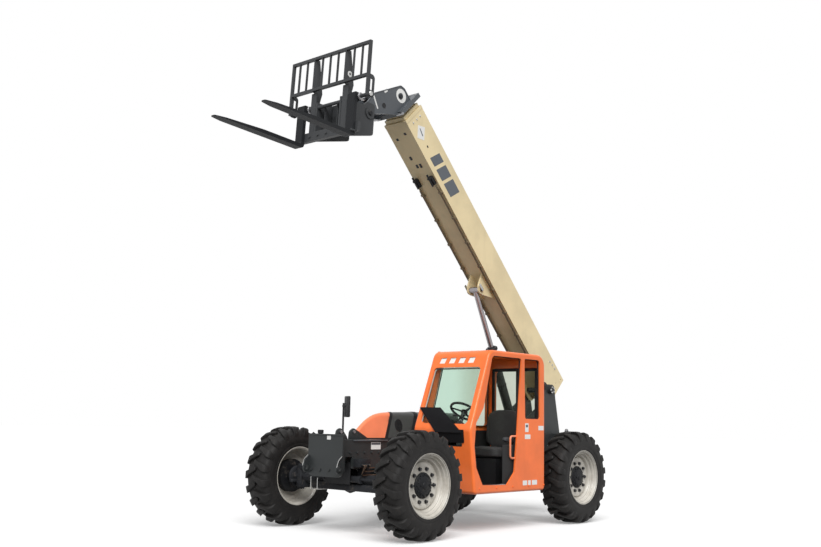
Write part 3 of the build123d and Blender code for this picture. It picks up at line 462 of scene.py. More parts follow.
class Kit:
    """The finishes of this machine, made once each."""

    _made: ClassVar[dict[str, Material]] = {}

    ORANGE = Paint("orange paint", "orange", (0.90, 0.178, 0.036), 0.33, dust_top=1.0, dust_amount=0.16,
                   coat=0.10, gloss=0.38)
    # a paler, pinker copy of the orange paint, used on the hood's nose
    PALE_NOSE_ORANGE = Paint("paler orange paint", "orange", (0.92, 0.245, 0.115), 0.36, dust_top=1.0,
                  dust_amount=0.16, coat=0.10, gloss=0.40)
    TAN = Paint("tan boom paint", "tan", (0.77, 0.64, 0.385), 0.38, dust_top=1.2, dust_amount=0.12,
                coat=0.12, gloss=0.38)
    FRAME = Paint("frame grey paint", "frame_grey", (0.026, 0.029, 0.030), 0.45, dust_top=1.1,
                  dust_amount=0.07, coat=0.04, gloss=0.28)
    HEAD = Paint("head grey paint", "head_grey", (0.072, 0.080, 0.090), 0.40, dust_amount=0.2, coat=0.1,
                 gloss=0.4)
    FORKS = Paint("carriage grey paint", "carriage_grey", (0.046, 0.048, 0.051), 0.48, dust_amount=0.2,
                  coat=0.0, gloss=0.25)
    TINES = Paint("fork paint", "carriage_grey", (0.016, 0.017, 0.019), 0.55, dust_amount=0.2, coat=0.0,
                  gloss=0.15)
    BONNET = Paint("hood grey", "hood_grey", (0.052, 0.054, 0.053), 0.42, dust_top=1.3, dust_amount=0.2,
                   coat=0.08, gloss=0.4)
    HANDLE = Paint("handle paint", "handle", (0.82, 0.25, 0.12), 0.34, dust_amount=0.1)
    SAFETY = Paint("lamp orange", "orange", (0.86, 0.30, 0.03), 0.28, dust_amount=0.1)
    RIM = RimPaint("cream rim paint", "rim", (0.50, 0.475, 0.425))
    NUT = Paint("wheel nut paint", "iron", (0.014, 0.014, 0.016), 0.45, dust_amount=0.2, coat=0.05, gloss=0.3)
    TYRE = Rubber("tyre rubber", "tyre")
    SEAL = Rubber("rubber seal", "dash", (0.012, 0.012, 0.013), (0.05, 0.05, 0.05), 0.55)
    HOSE = Rubber("hose rubber", "dash", (0.018, 0.018, 0.019), (0.07, 0.06, 0.05), 0.5)
    CHROME = Metal("plated rod", "chrome", (0.62, 0.63, 0.66), 0.16)
    ZINC = Metal("zinc fastener", "chrome", (0.50, 0.50, 0.49), 0.38, (1.0, 1.0, 1.0))
    STEEL = Metal("worn steel", "frame_grey", (0.33, 0.33, 0.34), 0.40, (30.0, 1.0, 1.0))
    IRON = Casting("axle casting", "iron", (0.022, 0.023, 0.026))
    HUB = Casting("hub casting", "iron", (0.010, 0.0105, 0.012), 0.5)
    ENGINE = Casting("engine casting", "iron", (0.075, 0.080, 0.085))
    DASH = Plastic("dash plastic", "dash", (0.011, 0.011, 0.012), 0.55)
    SHIELD = Plastic("shield plastic", "dash", (0.004, 0.004, 0.005), 0.65, gloss=0.15)
    VENT = Plastic("vent plastic", "dash", (0.010, 0.010, 0.011), 0.6, 180.0)
    LENS = Plastic("lamp lens", "glass", (0.60, 0.62, 0.60), 0.15, 60.0)
    SEAT = Cloth("seat cloth", "seat", (0.024, 0.023, 0.023))
    # its second colour is the painted shade of the rear windows
    GLASS = Glazing("tinted glass with painted rear shade", "glass", (0.74, 0.86, 0.785), (0.56, 0.60, 0.51))
    # painted highlight: a pale grey windscreen gasket stands in for the bright line where the screen's edge
    # catches the light
    EDGE_HIGHLIGHT_TRIM = Plastic("window trim with painted edge highlight", "dash", (0.38, 0.40, 0.37), 0.45)
    ARM = Plastic("armrest pad", "seat", (0.045, 0.046, 0.050), 0.6, 120.0)
    TUBE = Metal("boom tube paint", "dash", (0.17, 0.125, 0.070), 0.50, (1.0, 1.0, 1.0), 0.1)
    ROD = Metal("oiled rod", "chrome", (0.33, 0.31, 0.32), 0.27)
    PIPE = Metal("painted pipe", "chrome", (0.10, 0.062, 0.040), 0.45, (1.0, 1.0, 1.0), 0.4)
    RED = Plastic("red lamp lens", "orange", (0.42, 0.02, 0.015), 0.2, 60.0)
    WHITE = Decal("white decal", "rim", (0.80, 0.80, 0.78))
    SLATE = Decal("slate decal", "dash", (0.085, 0.098, 0.115))
    MAT = Plastic("floor mat", "dash", (0.014, 0.014, 0.014), 0.8, 60.0)

    @classmethod
    def get(cls, finish: Finish) -> Material:
        """Hands back a finish's material, made on first use.

        Args:
            finish: the finish.

        Returns:
            Its material.
        """
        if finish.name not in cls._made:
            cls._made[finish.name] = finish.build()
        return cls._made[finish.name]


# ---------------------------------------------------------------- meshes
class Shade(enum.Enum):
    """How a mesh's faces are shaded."""

    FLAT = 0
    SMOOTH = 1
    BY_ANGLE = 2


def new_object(name: str, mesh: Mesh) -> Object:
    """Links an object at the origin.

    Args:
        name: its name; spaces become underscores.
        mesh: its mesh.

    Returns:
        The object.
    """
    made = bpy.data.objects.new(name.replace(" ", "_"), mesh)
    bpy.context.scene.collection.objects.link(made)
    return made


def shaded(mesh: Mesh, how: Shade, degrees: float = 34.0) -> None:
    """Sets how a mesh's faces are shaded.

    Args:
        mesh: the mesh, which is changed.
        how: flat, smooth, or smooth with sharp edges.
        degrees: the angle from which an edge is sharp.
    """
    for polygon in mesh.polygons:
        polygon.use_smooth = how is not Shade.FLAT
    if how is Shade.BY_ANGLE:
        mesh.set_sharp_from_angle(angle=math.radians(degrees))


def from_bmesh(work: BMesh, how: Shade = Shade.BY_ANGLE) -> Mesh:
    """Turns a bmesh into a mesh with outward faces.

    Args:
        work: the bmesh, which is freed.
        how: how the faces are shaded.

    Returns:
        A new mesh.
    """
    bmesh.ops.remove_doubles(work, verts=work.verts, dist=1e-6)
    bmesh.ops.recalc_face_normals(work, faces=work.faces)
    mesh = bpy.data.meshes.new("part")
    work.to_mesh(mesh)
    work.free()
    shaded(mesh, how)
    return mesh


def bevel_sharp(work: BMesh, width: float, segments: int = 2, degrees: float = 40.0) -> None:
    """Rounds every edge sharper than an angle.

    Args:
        work: the bmesh, which is changed.
        width: how far the rounding reaches from the edge.
        segments: faces across the rounding.
        degrees: the angle between the two faces.
    """
    sharp = [e for e in work.edges if len(e.link_faces) == 2 and e.calc_face_angle(0.0) > math.radians(degrees)]
    bmesh.ops.bevel(work, geom=sharp, offset=width, segments=segments, profile=0.5, affect="EDGES",
                    clamp_overlap=True)


def rounded(rows: Sequence[tuple[float, float, float]], steps: int = 5) -> list[Flat]:
    """Closed outline with its corners rounded.

    Args:
        rows: (a, b, corner radius) round the outline.
        steps: points on each corner.

    Returns:
        The outline's points.
    """
    points: list[Flat] = []
    count = len(rows)
    for i, (a, b, radius) in enumerate(rows):
        here = Vector((a, b))
        back = Vector(rows[i - 1][:2]) - here
        ahead = Vector(rows[(i + 1) % count][:2]) - here
        if radius <= 0.0:
            points.append((a, b))
            continue
        half = back.angle(ahead) / 2.0
        reach = min(radius / math.tan(half), 0.49 * back.length, 0.49 * ahead.length)
        start, end = here + back.normalized() * reach, here + ahead.normalized() * reach
        for k in range(steps + 1):
            t = k / steps
            spot = start * (1 - t) ** 2 + here * 2 * t * (1 - t) + end * t ** 2
            points.append((spot.x, spot.y))
    return points


def prism(outline: Sequence[Flat], low: float, high: float, bevel: float = 0.0, segments: int = 2) -> Mesh:
    """Plate drawn in XY between two z values.

    Args:
        outline: its points, in order.
        low: z of its lower face.
        high: z of its upper face.
        bevel: width of the rounding of its edges.
        segments: faces across the rounding.

    Returns:
        A closed mesh.
    """
    work = bmesh.new()
    floor = [work.verts.new((a, b, low)) for a, b in outline]
    roof = [work.verts.new((a, b, high)) for a, b in outline]
    work.faces.new(floor)
    work.faces.new(roof)
    for i in range(len(outline)):
        j = (i + 1) % len(outline)
        work.faces.new((floor[i], floor[j], roof[j], roof[i]))
    bmesh.ops.recalc_face_normals(work, faces=work.faces)
    if bevel > 0.0:
        bevel_sharp(work, bevel, segments)
    return from_bmesh(work)


def lathe(profile: Sequence[Flat], sides: int = 64, how: Shade = Shade.BY_ANGLE) -> Mesh:
    """Turned form about Z.

    Args:
        profile: (radius, height) points; a closed profile makes a ring.
        sides: faces round it.
        how: how the faces are shaded.

    Returns:
        A closed mesh.
    """
    work = bmesh.new()
    rings = []
    for radius, height in profile:
        if radius < 1e-6:
            rings.append([work.verts.new((0.0, 0.0, height))] * sides)
        else:
            rings.append([work.verts.new((radius * math.cos(math.tau * k / sides),
                                          radius * math.sin(math.tau * k / sides), height))
                          for k in range(sides)])
    closed = profile[0] == profile[-1]
    if closed:
        rings[-1] = rings[0]
    for lower, upper in zip(rings, rings[1:]):
        for k in range(sides):
            n = (k + 1) % sides
            corners = list(dict.fromkeys((lower[k], lower[n], upper[n], upper[k])))
            if len(corners) > 2:
                work.faces.new(corners)
    return from_bmesh(work, how)


def bar(width: float, depth: float, height: float, bevel: float = 0.002) -> Mesh:
    """Block about the origin with rounded edges."""
    a, b = width / 2, depth / 2
    return prism([(-a, -b), (a, -b), (a, b), (-a, b)], -height / 2, height / 2, bevel)


def pipe(route: Sequence[Point], radius: float, turn: float = 0.0, sides: int = 12) -> Mesh:
    """Round bar along straight runs with rounded corners.

    Args:
        route: the points of its middle line.
        radius: half its thickness.
        turn: radius of its corners.
        sides: faces round it.

    Returns:
        A closed mesh.
    """
    line: list[Vector] = []
    for i, spot in enumerate(route):
        here = Vector(spot)
        if 0 < i < len(route) - 1 and turn > 0.0:
            back, ahead = Vector(route[i - 1]) - here, Vector(route[i + 1]) - here
            reach = min(turn, back.length * 0.45, ahead.length * 0.45)
            start, end = here + back.normalized() * reach, here + ahead.normalized() * reach
            for k in range(7):
                t = k / 6
                line.append(start * (1 - t) ** 2 + here * 2 * t * (1 - t) + end * t ** 2)
        else:
            line.append(here)
    work = bmesh.new()
    rings = []
    up = Vector((0.0, 0.0, 1.0))
    for i, here in enumerate(line):
        along = (line[min(i + 1, len(line) - 1)] - line[max(i - 1, 0)]).normalized()
        side = along.cross(up)
        if side.length < 1e-3:
            side = along.cross(Vector((0.0, 1.0, 0.0)))
        side.normalize()
        up = side.cross(along).normalized()
        rings.append([work.verts.new(here + side * (radius * math.cos(math.tau * k / sides))
                                     + up * (radius * math.sin(math.tau * k / sides))) for k in range(sides)])
    for lower, upper in zip(rings, rings[1:]):
        for k in range(sides):
            n = (k + 1) % sides
            work.faces.new((lower[k], lower[n], upper[n], upper[k]))
    work.faces.new(rings[0])
    work.faces.new(rings[-1])
    return from_bmesh(work)


def hex_bolt(across: float, high: float, washer: float = 1.35) -> Mesh:
    """Hexagon bolt head on its washer, standing on z = 0 along +Z.

    Args:
        across: width across its flats.
        high: height of the head with the washer.
        washer: the washer's diameter, as a share of the width across flats.

    Returns:
        A closed mesh.
    """
    work = bmesh.new()
    flange = across * washer / 2
    for radius, low, top, sides in ((flange, 0.0, high * 0.22, 16), (across * 0.577, high * 0.2, high, 6)):
        ring = [[work.verts.new((r * math.cos(math.tau * k / sides), r * math.sin(math.tau * k / sides), z))
                 for k in range(sides)] for r, z in ((radius, low), (radius, top * 0.93), (radius * 0.9, top))]
        for lower, upper in zip(ring, ring[1:]):
            for k in range(sides):
                n = (k + 1) % sides
                work.faces.new((lower[k], lower[n], upper[n], upper[k]))
        work.faces.new(ring[0])
        work.faces.new(ring[-1])
    return from_bmesh(work, Shade.FLAT)


def moved(mesh: Mesh, where: Matrix) -> Mesh:
    """Puts a mesh in place, its faces still pointing outwards.

    Args:
        mesh: the mesh, which is changed.
        where: its place, which may mirror it.

    Returns:
        The same mesh.
    """
    mesh.transform(where)
    if where.to_3x3().determinant() < 0:
        mesh.flip_normals()
    return mesh


def joined(meshes: Iterable[Mesh]) -> Mesh:
    """One mesh from several.

    Args:
        meshes: the meshes, each in place.

    Returns:
        A new mesh, shaded by angle.
    """
    work = bmesh.new()
    for mesh in meshes:
        work.from_mesh(mesh)
    out = bpy.data.meshes.new("part")
    work.to_mesh(out)
    work.free()
    shaded(out, Shade.BY_ANGLE)
    return out


# ---------------------------------------------------------------- geometry nodes
class Repeat:
    """Geometry Nodes tree that repeats a mesh: copy i is turned by i turns and moved by i steps."""

    _tree: ClassVar[Tree | None] = None
    _ids: ClassVar[dict[str, str]] = {}

    @classmethod
    def tree(cls) -> Tree:
        """Hands back the node tree, made on first use.

        Returns:
            The tree.
        """
        if cls._tree:
            return cls._tree
        tree = bpy.data.node_groups.new("repeat along a step", "GeometryNodeTree")
        face = tree.interface
        face.new_socket("Geometry", in_out="INPUT", socket_type="NodeSocketGeometry")
        for name, kind in (("Count", "Int"), ("Step", "Vector"), ("Turn", "Vector"), ("Finish", "Material")):
            cls._ids[name] = face.new_socket(name, in_out="INPUT", socket_type="NodeSocket" + kind).identifier
        face.new_socket("Geometry", in_out="OUTPUT", socket_type="NodeSocketGeometry")
        nodes, links = tree.nodes, tree.links
        entry, leave = nodes.new("NodeGroupInput"), nodes.new("NodeGroupOutput")
        line = nodes.new("GeometryNodeMeshLine")
        line.mode = "OFFSET"
        copies = nodes.new("GeometryNodeInstanceOnPoints")
        index = nodes.new("GeometryNodeInputIndex")
        angle = nodes.new("ShaderNodeVectorMath")
        angle.operation = "SCALE"
        real = nodes.new("GeometryNodeRealizeInstances")
        dress = nodes.new("GeometryNodeSetMaterial")
        links.new(entry.outputs["Count"], line.inputs["Count"])
        links.new(entry.outputs["Step"], line.inputs["Offset"])
        links.new(line.outputs[0], copies.inputs["Points"])
        links.new(entry.outputs["Geometry"], copies.inputs["Instance"])
        links.new(entry.outputs["Turn"], angle.inputs[0])
        links.new(index.outputs[0], angle.inputs["Scale"])
        links.new(angle.outputs[0], copies.inputs["Rotation"])
        links.new(copies.outputs[0], real.inputs[0])
        links.new(real.outputs[0], dress.inputs["Geometry"])
        links.new(entry.outputs["Finish"], dress.inputs["Material"])
        links.new(dress.outputs[0], leave.inputs[0])
        cls._tree = tree
        return tree

    @classmethod
    def make(cls, mesh: Mesh, count: int, step: Point = (0, 0, 0), turn: Point = (0, 0, 0),
             finish: Finish = Kit.ZINC) -> Mesh:
        """Repeats a mesh and returns the plain result.

        Args:
            mesh: the piece to repeat, at its first place.
            count: how many copies.
            step: move from one copy to the next.
            turn: turn from one copy to the next, about the origin, in radians.
            finish: the finish of the copies.

        Returns:
            One mesh with every copy in it.
        """
        master = new_object("master", mesh)
        modifier = master.modifiers.new("repeat", "NODES")
        modifier.node_group = cls.tree()
        modifier[cls._ids["Count"]] = count
        modifier[cls._ids["Step"]] = step
        modifier[cls._ids["Turn"]] = turn
        modifier[cls._ids["Finish"]] = Kit.get(finish)
        bpy.context.view_layer.update()
        graph = bpy.context.evaluated_depsgraph_get()
        out = bpy.data.meshes.new_from_object(master.evaluated_get(graph))
        bpy.data.objects.remove(master)
        return out


def dress(node: str, finish: Finish) -> None:
    """Gives a CAD node its finish.

    Args:
        node: the node's name.
        finish: the finish of all its faces.
    """
    target = frame["nodes"][node]
    target.data.materials.clear()
    target.data.materials.append(Kit.get(finish))


def at(x: float, y: float, z: float) -> Matrix:
    """Move."""
    return Matrix.Translation((x, y, z))


def spin(axis: str, degrees: float) -> Matrix:
    """Turn about an axis."""
    return Matrix.Rotation(math.radians(degrees), 4, axis)


def turned(count: int) -> Point:
    """Turn from one of `count` copies round Z to the next, in radians."""
    return (0.0, 0.0, math.tau / count)


def basis(x_axis: Point, y_axis: Point, z_axis: Point, origin: Point) -> Matrix:
    """Frame with three given axes.

    Args:
        x_axis: where +X points.
        y_axis: where +Y points.
        z_axis: where +Z points.
        origin: its origin.

    Returns:
        The frame's matrix.
    """
    out = Matrix((x_axis, y_axis, z_axis)).transposed().to_4x4()
    out.translation = Vector(origin)
    return out


TO_SIDE = basis((1, 0, 0), (0, 0, 1), (0, -1, 0), (0, 0, 0))      # drawn (x, z), thickness along -Y
TO_FRONT = basis((0, 1, 0), (0, 0, 1), (1, 0, 0), (0, 0, 0))      # drawn (y, z), thickness along +X
AXLE = basis((1, 0, 0), (0, 0, -1), (0, 1, 0), (0, 0, 0))         # turned forms with their axis along +Y


def pin(joint: str) -> Vector:
    """A joint's place."""
    return Vector(JOINTS[joint]["pos_m"])


def along(origin: Vector, axis: Point) -> Matrix:
    """Frame at a point with +X along an axis in the XZ plane, +Y to the left."""
    x_axis = Vector(axis).normalized()
    return basis(x_axis, (0, 1, 0), x_axis.cross(Vector((0, 1, 0))), origin)


VINYL = 0.0008                                                    # thickness of a decal
WHEEL_RADIUS = 0.640
FORK_PITCH = -3.5                                                 # degrees
SIDES = ((1, "left"), (-1, "right"))                              # sign of Y, and the name of that side
JOINTS = {joint["name"]: joint for joint in frame["joints"]}
MACHINE = at((pin("front_left_spin").x + pin("rear_left_spin").x) / 2, 0.0,
             pin("front_left_spin").z - WHEEL_RADIUS)
BOOM = along(pin("boom_lift"), JOINTS["boom_extend"]["axis"])
LIFT = along(pin("lift_cylinder_swing"), JOINTS["lift_cylinder_stroke"]["axis"])
TILT = along(pin("tilt_cylinder_swing"), JOINTS["tilt_cylinder_stroke"]["axis"])
CARRIAGE = at(*pin("carriage_tilt")) @ spin("Y", FORK_PITCH)


def mirrored(side: int) -> Matrix:
    """Nothing for the left side (1), a reflection across the middle plane for the right one (-1)."""
    return Matrix.Scale(side, 4, (0, 1, 0))


def piece(name: str, mesh: Mesh, finish: Finish, where: Matrix | None = MACHINE,
          body: str = "chassis", stands_for: str = "") -> Object:
    """Dresses a mesh, puts it in place and makes it ride on a body.

    Args:
        name: the piece's name.
        mesh: its mesh, in the frame of `where`.
        finish: its finish.
        where: its place, or None for a mesh that is in place.
        body: the CAD body it rides on.
        stands_for: the CAD node that it replaces, if any.

    Returns:
        The piece.
    """
    if where is not None:
        moved(mesh, where)
    mesh.materials.clear()
    mesh.materials.append(Kit.get(finish))
    made = new_object(name, mesh)
    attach(made, body)
    if stands_for:
        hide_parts(stands_for)
    LOG.info("%s: %d faces on %s", name, len(mesh.polygons), body)
    return made


def row(name: str, mesh: Mesh, count: int, finish: Finish, where: Matrix = MACHINE,
        body: str = "chassis", step: Point = (0, 0, 0), turn: Point = (0, 0, 0)) -> Object:
    """Repeats a mesh and makes the copies one piece.

    Args:
        name: the piece's name.
        mesh: one item, at its first place in the frame of `where`.
        count: how many items.
        finish: their finish.
        where: the row's place.
        body: the CAD body it rides on.
        step: move from one item to the next.
        turn: turn from one item to the next, about the origin, in radians.

    Returns:
        The piece.
    """
    return piece(name, Repeat.make(mesh, count, step, turn, finish), finish, where, body)


def side_plate(outline: Sequence[Flat], y_low: float, y_high: float, bevel: float = 0.0) -> Mesh:
    """Plate drawn in (x, z) between two y values."""
    return moved(prism(outline, -y_high, -y_low, bevel), TO_SIDE)


def front_plate(outline: Sequence[Flat], x_low: float, x_high: float, bevel: float = 0.0) -> Mesh:
    """Plate drawn in (y, z) between two x values."""
    return moved(prism(outline, x_low, x_high, bevel), TO_FRONT)


def sheet(outline: Sequence[Flat], skin: float, thick: float = VINYL) -> Mesh:
    """Vinyl decal drawn in (x, z), on the side face at y = `skin`."""
    return side_plate(outline, skin, skin + thick)


def inset(outline: Sequence[Flat], depth: float) -> list[Flat]:
    """The outline moved inwards, point for point.

    Args:
        outline: its points, in either direction.
        depth: how far inwards; negative is outwards.

    Returns:
        The moved points.
    """
    points = [Vector(p) for p in outline]
    area = sum(a.x * b.y - b.x * a.y for a, b in zip(points, points[1:] + points[:1]))
    sign = 1.0 if area > 0 else -1.0
    out: list[Flat] = []
    for i, here in enumerate(points):
        back, ahead = points[i - 1], points[(i + 1) % len(points)]
        first = Vector((back.y - here.y, here.x - back.x)).normalized()
        second = Vector((here.y - ahead.y, ahead.x - here.x)).normalized()
        normal = (first + second).normalized() * sign
        out.append(tuple(here + normal * depth / max(0.5, normal.dot(first * sign))))
    return out


def ring_plate(outline: Sequence[Flat], width: float, low: float, high: float) -> Mesh:
    """Flat ring inside an outline drawn in XY.

    Args:
        outline: its outer edge.
        width: how wide the ring is.
        low: z of its lower face.
        high: z of its upper face.

    Returns:
        A closed mesh.
    """
    inner = inset(outline, width)
    work = bmesh.new()
    loops = [[work.verts.new((a, b, z)) for a, b in loop]
             for loop, z in ((outline, low), (outline, high), (inner, high), (inner, low))]
    for first, second in zip(loops, loops[1:] + loops[:1]):
        for i in range(len(outline)):
            j = (i + 1) % len(outline)
            work.faces.new((first[i], first[j], second[j], second[i]))
    return from_bmesh(work)


def box_rows(a_low: float, a_high: float, b_low: float, b_high: float, corner: float = 0.0) -> list[Flat]:
    """Rectangle's outline with rounded corners."""
    return rounded([(a_low, b_low, corner), (a_high, b_low, corner), (a_high, b_high, corner),
                    (a_low, b_high, corner)])


def cushion(size: Point, seams: Sequence[float], seam_axis: int, roundness: float = 5.0, cells: int = 26,
            depth: float = 0.012, taper: float = 0.0) -> Mesh:
    """Padded form about the origin, its upper face gathered along seams.

    Args:
        size: its full width along X, Y and Z; the padded face looks along +Z.
        seams: places of the seams along the seam axis, as shares from -1 to 1.
        seam_axis: 0 or 1, the axis the seams are spaced along.
        roundness: higher is squarer.
        cells: faces along each edge.
        depth: how deep a seam pulls the cover in.
        taper: how much narrower it is in Y at its +X end.

    Returns:
        A closed mesh.
    """
    work = bmesh.new()
    bmesh.ops.create_cube(work, size=2.0)
    bmesh.ops.subdivide_edges(work, edges=work.edges, cuts=cells, use_grid_fill=True)
    half = [value / 2 for value in size]
    seam_width, welt_place, welt_width = 0.035, 0.74, 0.05
    padded_from, welt_from, crown = 0.1, 0.3, 0.16
    for vert in work.verts:
        spot = vert.co.copy()
        length = sum(abs(c) ** roundness for c in spot) ** (1.0 / roundness)
        spot /= length
        pull = sum(math.exp(-((spot[seam_axis] - seam) / seam_width) ** 2) for seam in seams)
        swell = (1.0 - spot.x ** 2) * (1.0 - spot.y ** 2)
        x, y, z = (spot[i] * half[i] for i in range(3))
        if spot.z > padded_from:
            z += swell * half[2] * crown - pull * depth * min(1.0, (spot.z - padded_from) * 3.0)
        edge = math.exp(-((abs(spot.y) - welt_place) / welt_width) ** 2) if spot.z > welt_from else 0.0
        vert.co = (x, y * (1.0 - taper * (spot.x + 1.0) / 2.0), z - edge * depth * 0.8)
    return from_bmesh(work, Shade.SMOOTH)


# ---------------------------------------------------------------- wheels
@dataclass
class Wheels:
    """Four lugged tyres on cream rims, each with a dark hub and its ring of nuts."""

    radius: float = WHEEL_RADIUS
    lug_height: float = 0.037
    flange: float = 0.376
    lugs: int = 20
    nuts: int = 10
    nut_ring: float = 0.198
    hub: float = 0.152
    disc: float = 0.058

    def tyre(self) -> Mesh:
        """Carcass with two rows of slanted lugs, its axle along Z.

        Returns:
            The tyre's mesh.
        """
        carcass = self.radius - self.lug_height
        wall = [(self.flange - 0.006, -0.150), (self.flange - 0.010, -0.172), (0.392, -0.184),
                (0.412, -0.190), (0.424, -0.187), (0.432, -0.191), (0.470, -0.194), (0.510, -0.191),
                (0.545, -0.184), (0.570, -0.172), (0.588, -0.150), (carcass - 0.003, -0.110),
                (carcass, 0.0)]
        profile = wall + [(r, -z) for r, z in reversed(wall[:-1])]
        body = lathe(profile + profile[:1], 96)
        near = Repeat.make(self.lug(carcass), self.lugs, turn=turned(self.lugs), finish=Kit.TYRE)
        flip = Matrix.Scale(-1, 4, (0, 0, 1)) @ spin("Z", 360 / self.lugs / 2)
        return joined([body, near, moved(near.copy(), flip)])

    def lug(self, carcass: float) -> Mesh:
        """One lug: it starts past the middle, leans back, steps wider and drops over the shoulder.

        Args:
            carcass: radius of the carcass at its middle.

        Returns:
            A closed mesh.
        """
        stations = (                               # across, sweep round the tyre, width, top, root
            (-0.026, 0.000, 0.040, 0.024, 0.0), (-0.012, 0.005, 0.056, 0.036, 0.0),
            (0.040, 0.030, 0.066, 0.037, 0.0), (0.080, 0.046, 0.072, 0.037, 0.0),
            (0.098, 0.056, 0.090, 0.036, 0.0), (0.132, 0.074, 0.104, 0.032, -0.010),
            (0.158, 0.084, 0.110, 0.022, -0.026), (0.177, 0.090, 0.110, 0.005, -0.044),
            (0.188, 0.094, 0.102, -0.018, -0.064), (0.193, 0.096, 0.086, -0.044, -0.084),
        )
        work = bmesh.new()
        rings = []
        for across, sweep, width, top, root in stations:
            ring = []
            for side, high in ((-1, root - 0.012), (-0.84, top), (0.84, top), (1, root - 0.012)):
                radius = carcass + high
                angle = (sweep + side * width / 2) / self.radius
                ring.append(work.verts.new((radius * math.cos(angle), radius * math.sin(angle), across)))
            rings.append(ring)
        for first, second in zip(rings, rings[1:]):
            for k in range(4):
                n = (k + 1) % 4
                work.faces.new((first[k], first[n], second[n], second[k]))
        work.faces.new(rings[0])
        work.faces.new(rings[-1])
        bmesh.ops.recalc_face_normals(work, faces=work.faces)
        bevel_sharp(work, 0.011, 3, 28.0)
        return from_bmesh(work)

    def rim(self) -> Mesh:
        """Stepped dish and flanges, its axle along Z and its outside towards +Z.

        Returns:
            The rim's mesh.
        """
        face = self.disc
        profile = [
            (0.100, face), (0.216, face), (0.222, face + 0.003), (0.262, face + 0.005), (0.270, face + 0.002),
            (0.274, face - 0.012), (0.281, face - 0.018), (0.290, face - 0.014), (0.298, face + 0.010),
            (0.301, 0.078), (0.306, 0.086), (0.322, 0.088), (0.327, 0.094), (0.329, 0.122), (0.334, 0.130),
            (0.347, 0.131), (0.351, 0.137), (0.352, 0.160), (0.357, 0.167), (0.366, 0.169), (0.371, 0.178),
            (0.377, 0.178), (0.379, 0.168), (0.368, 0.160),
            (0.357, 0.150), (0.355, -0.150), (0.368, -0.160), (0.379, -0.168), (0.377, -0.178), (0.371, -0.179),
            (0.362, -0.171), (0.352, -0.164), (0.345, -0.150), (0.343, 0.010), (0.320, 0.020), (0.290, 0.016),
            (0.270, face - 0.030), (0.100, face - 0.022),
        ]
        return lathe(profile + profile[:1], 96)

    def hub_cap(self) -> Mesh:
        """Planetary hub with its cover, screws and ribs.

        Returns:
            The hub's mesh.
        """
        face = self.disc
        profile = [(0.0, 0.118), (0.040, 0.118), (0.046, 0.114), (0.050, 0.106), (0.098, 0.103),
                   (0.110, 0.098), (0.118, face + 0.030), (0.134, face + 0.024), (0.148, face + 0.016),
                   (self.hub, face + 0.008), (self.hub, face - 0.006), (0.098, face - 0.006),
                   (0.098, -0.12), (0.0, -0.12)]
        body = lathe(profile, 64)
        small = moved(hex_bolt(0.016, 0.010, 1.3), at(0.127, 0.0, face + 0.026))
        plug = moved(hex_bolt(0.024, 0.010, 1.3), at(0.074, 0.0, 0.1040))
        rib = moved(bar(0.014, 0.007, 0.024, 0.002), at(0.114, 0.0, face + 0.032))
        return joined([body, Repeat.make(small, 12, turn=turned(12), finish=Kit.IRON),
                       moved(Repeat.make(rib, 12, turn=turned(12), finish=Kit.IRON), spin("Z", 15)),
                       Repeat.make(plug, 2, turn=turned(2), finish=Kit.IRON)])

    def drum(self) -> Mesh:
        """Ribbed drum behind the rim's disc.

        Returns:
            A closed mesh.
        """
        back = self.disc - 0.024
        profile = [(0.105, back), (0.205, back), (0.212, back - 0.008)]
        for k in range(4):
            deep = back - 0.012 - 0.022 * k
            profile += [(0.212, deep), (0.204, deep - 0.004), (0.204, deep - 0.012), (0.212, deep - 0.016)]
        end = back - 0.098
        profile += [(0.200, end), (0.150, end - 0.008), (0.105, end - 0.008), (0.105, back)]
        return lathe(profile, 72)

    def build(self) -> None:
        """Makes the four wheels."""
        for end in ("front", "rear"):
            for hand, turn in (("left", 0), ("right", 180)):
                name = f"{end}_{hand}"
                body = name + "_wheel_body"
                straight = at(*pin(name + "_spin")) @ AXLE
                middle = at(*pin(name + "_spin")) @ spin("Z", turn) @ AXLE
                piece(name + " lugged tyre", self.tyre(), Kit.TYRE, straight, body, stands_for=name + "_tyre")
                piece(name + " dished rim", self.rim(), Kit.RIM, middle, body, stands_for=name + "_wheel")
                piece(name + " planetary hub", self.hub_cap(), Kit.HUB, middle, body)
                piece(name + " brake drum", self.drum(), Kit.HUB, middle, body)
                nut = moved(hex_bolt(0.033, 0.030, 1.45), at(self.nut_ring, 0.0, self.disc - 0.0005))
                row(name + " wheel nuts", nut, self.nuts, Kit.NUT, middle, body, turn=turned(self.nuts))
                valve = pipe([(0.314, 0.0, 0.086), (0.314, 0.0, 0.128)], 0.005)
                piece(name + " tyre valve", valve, Kit.SEAL, middle, body)


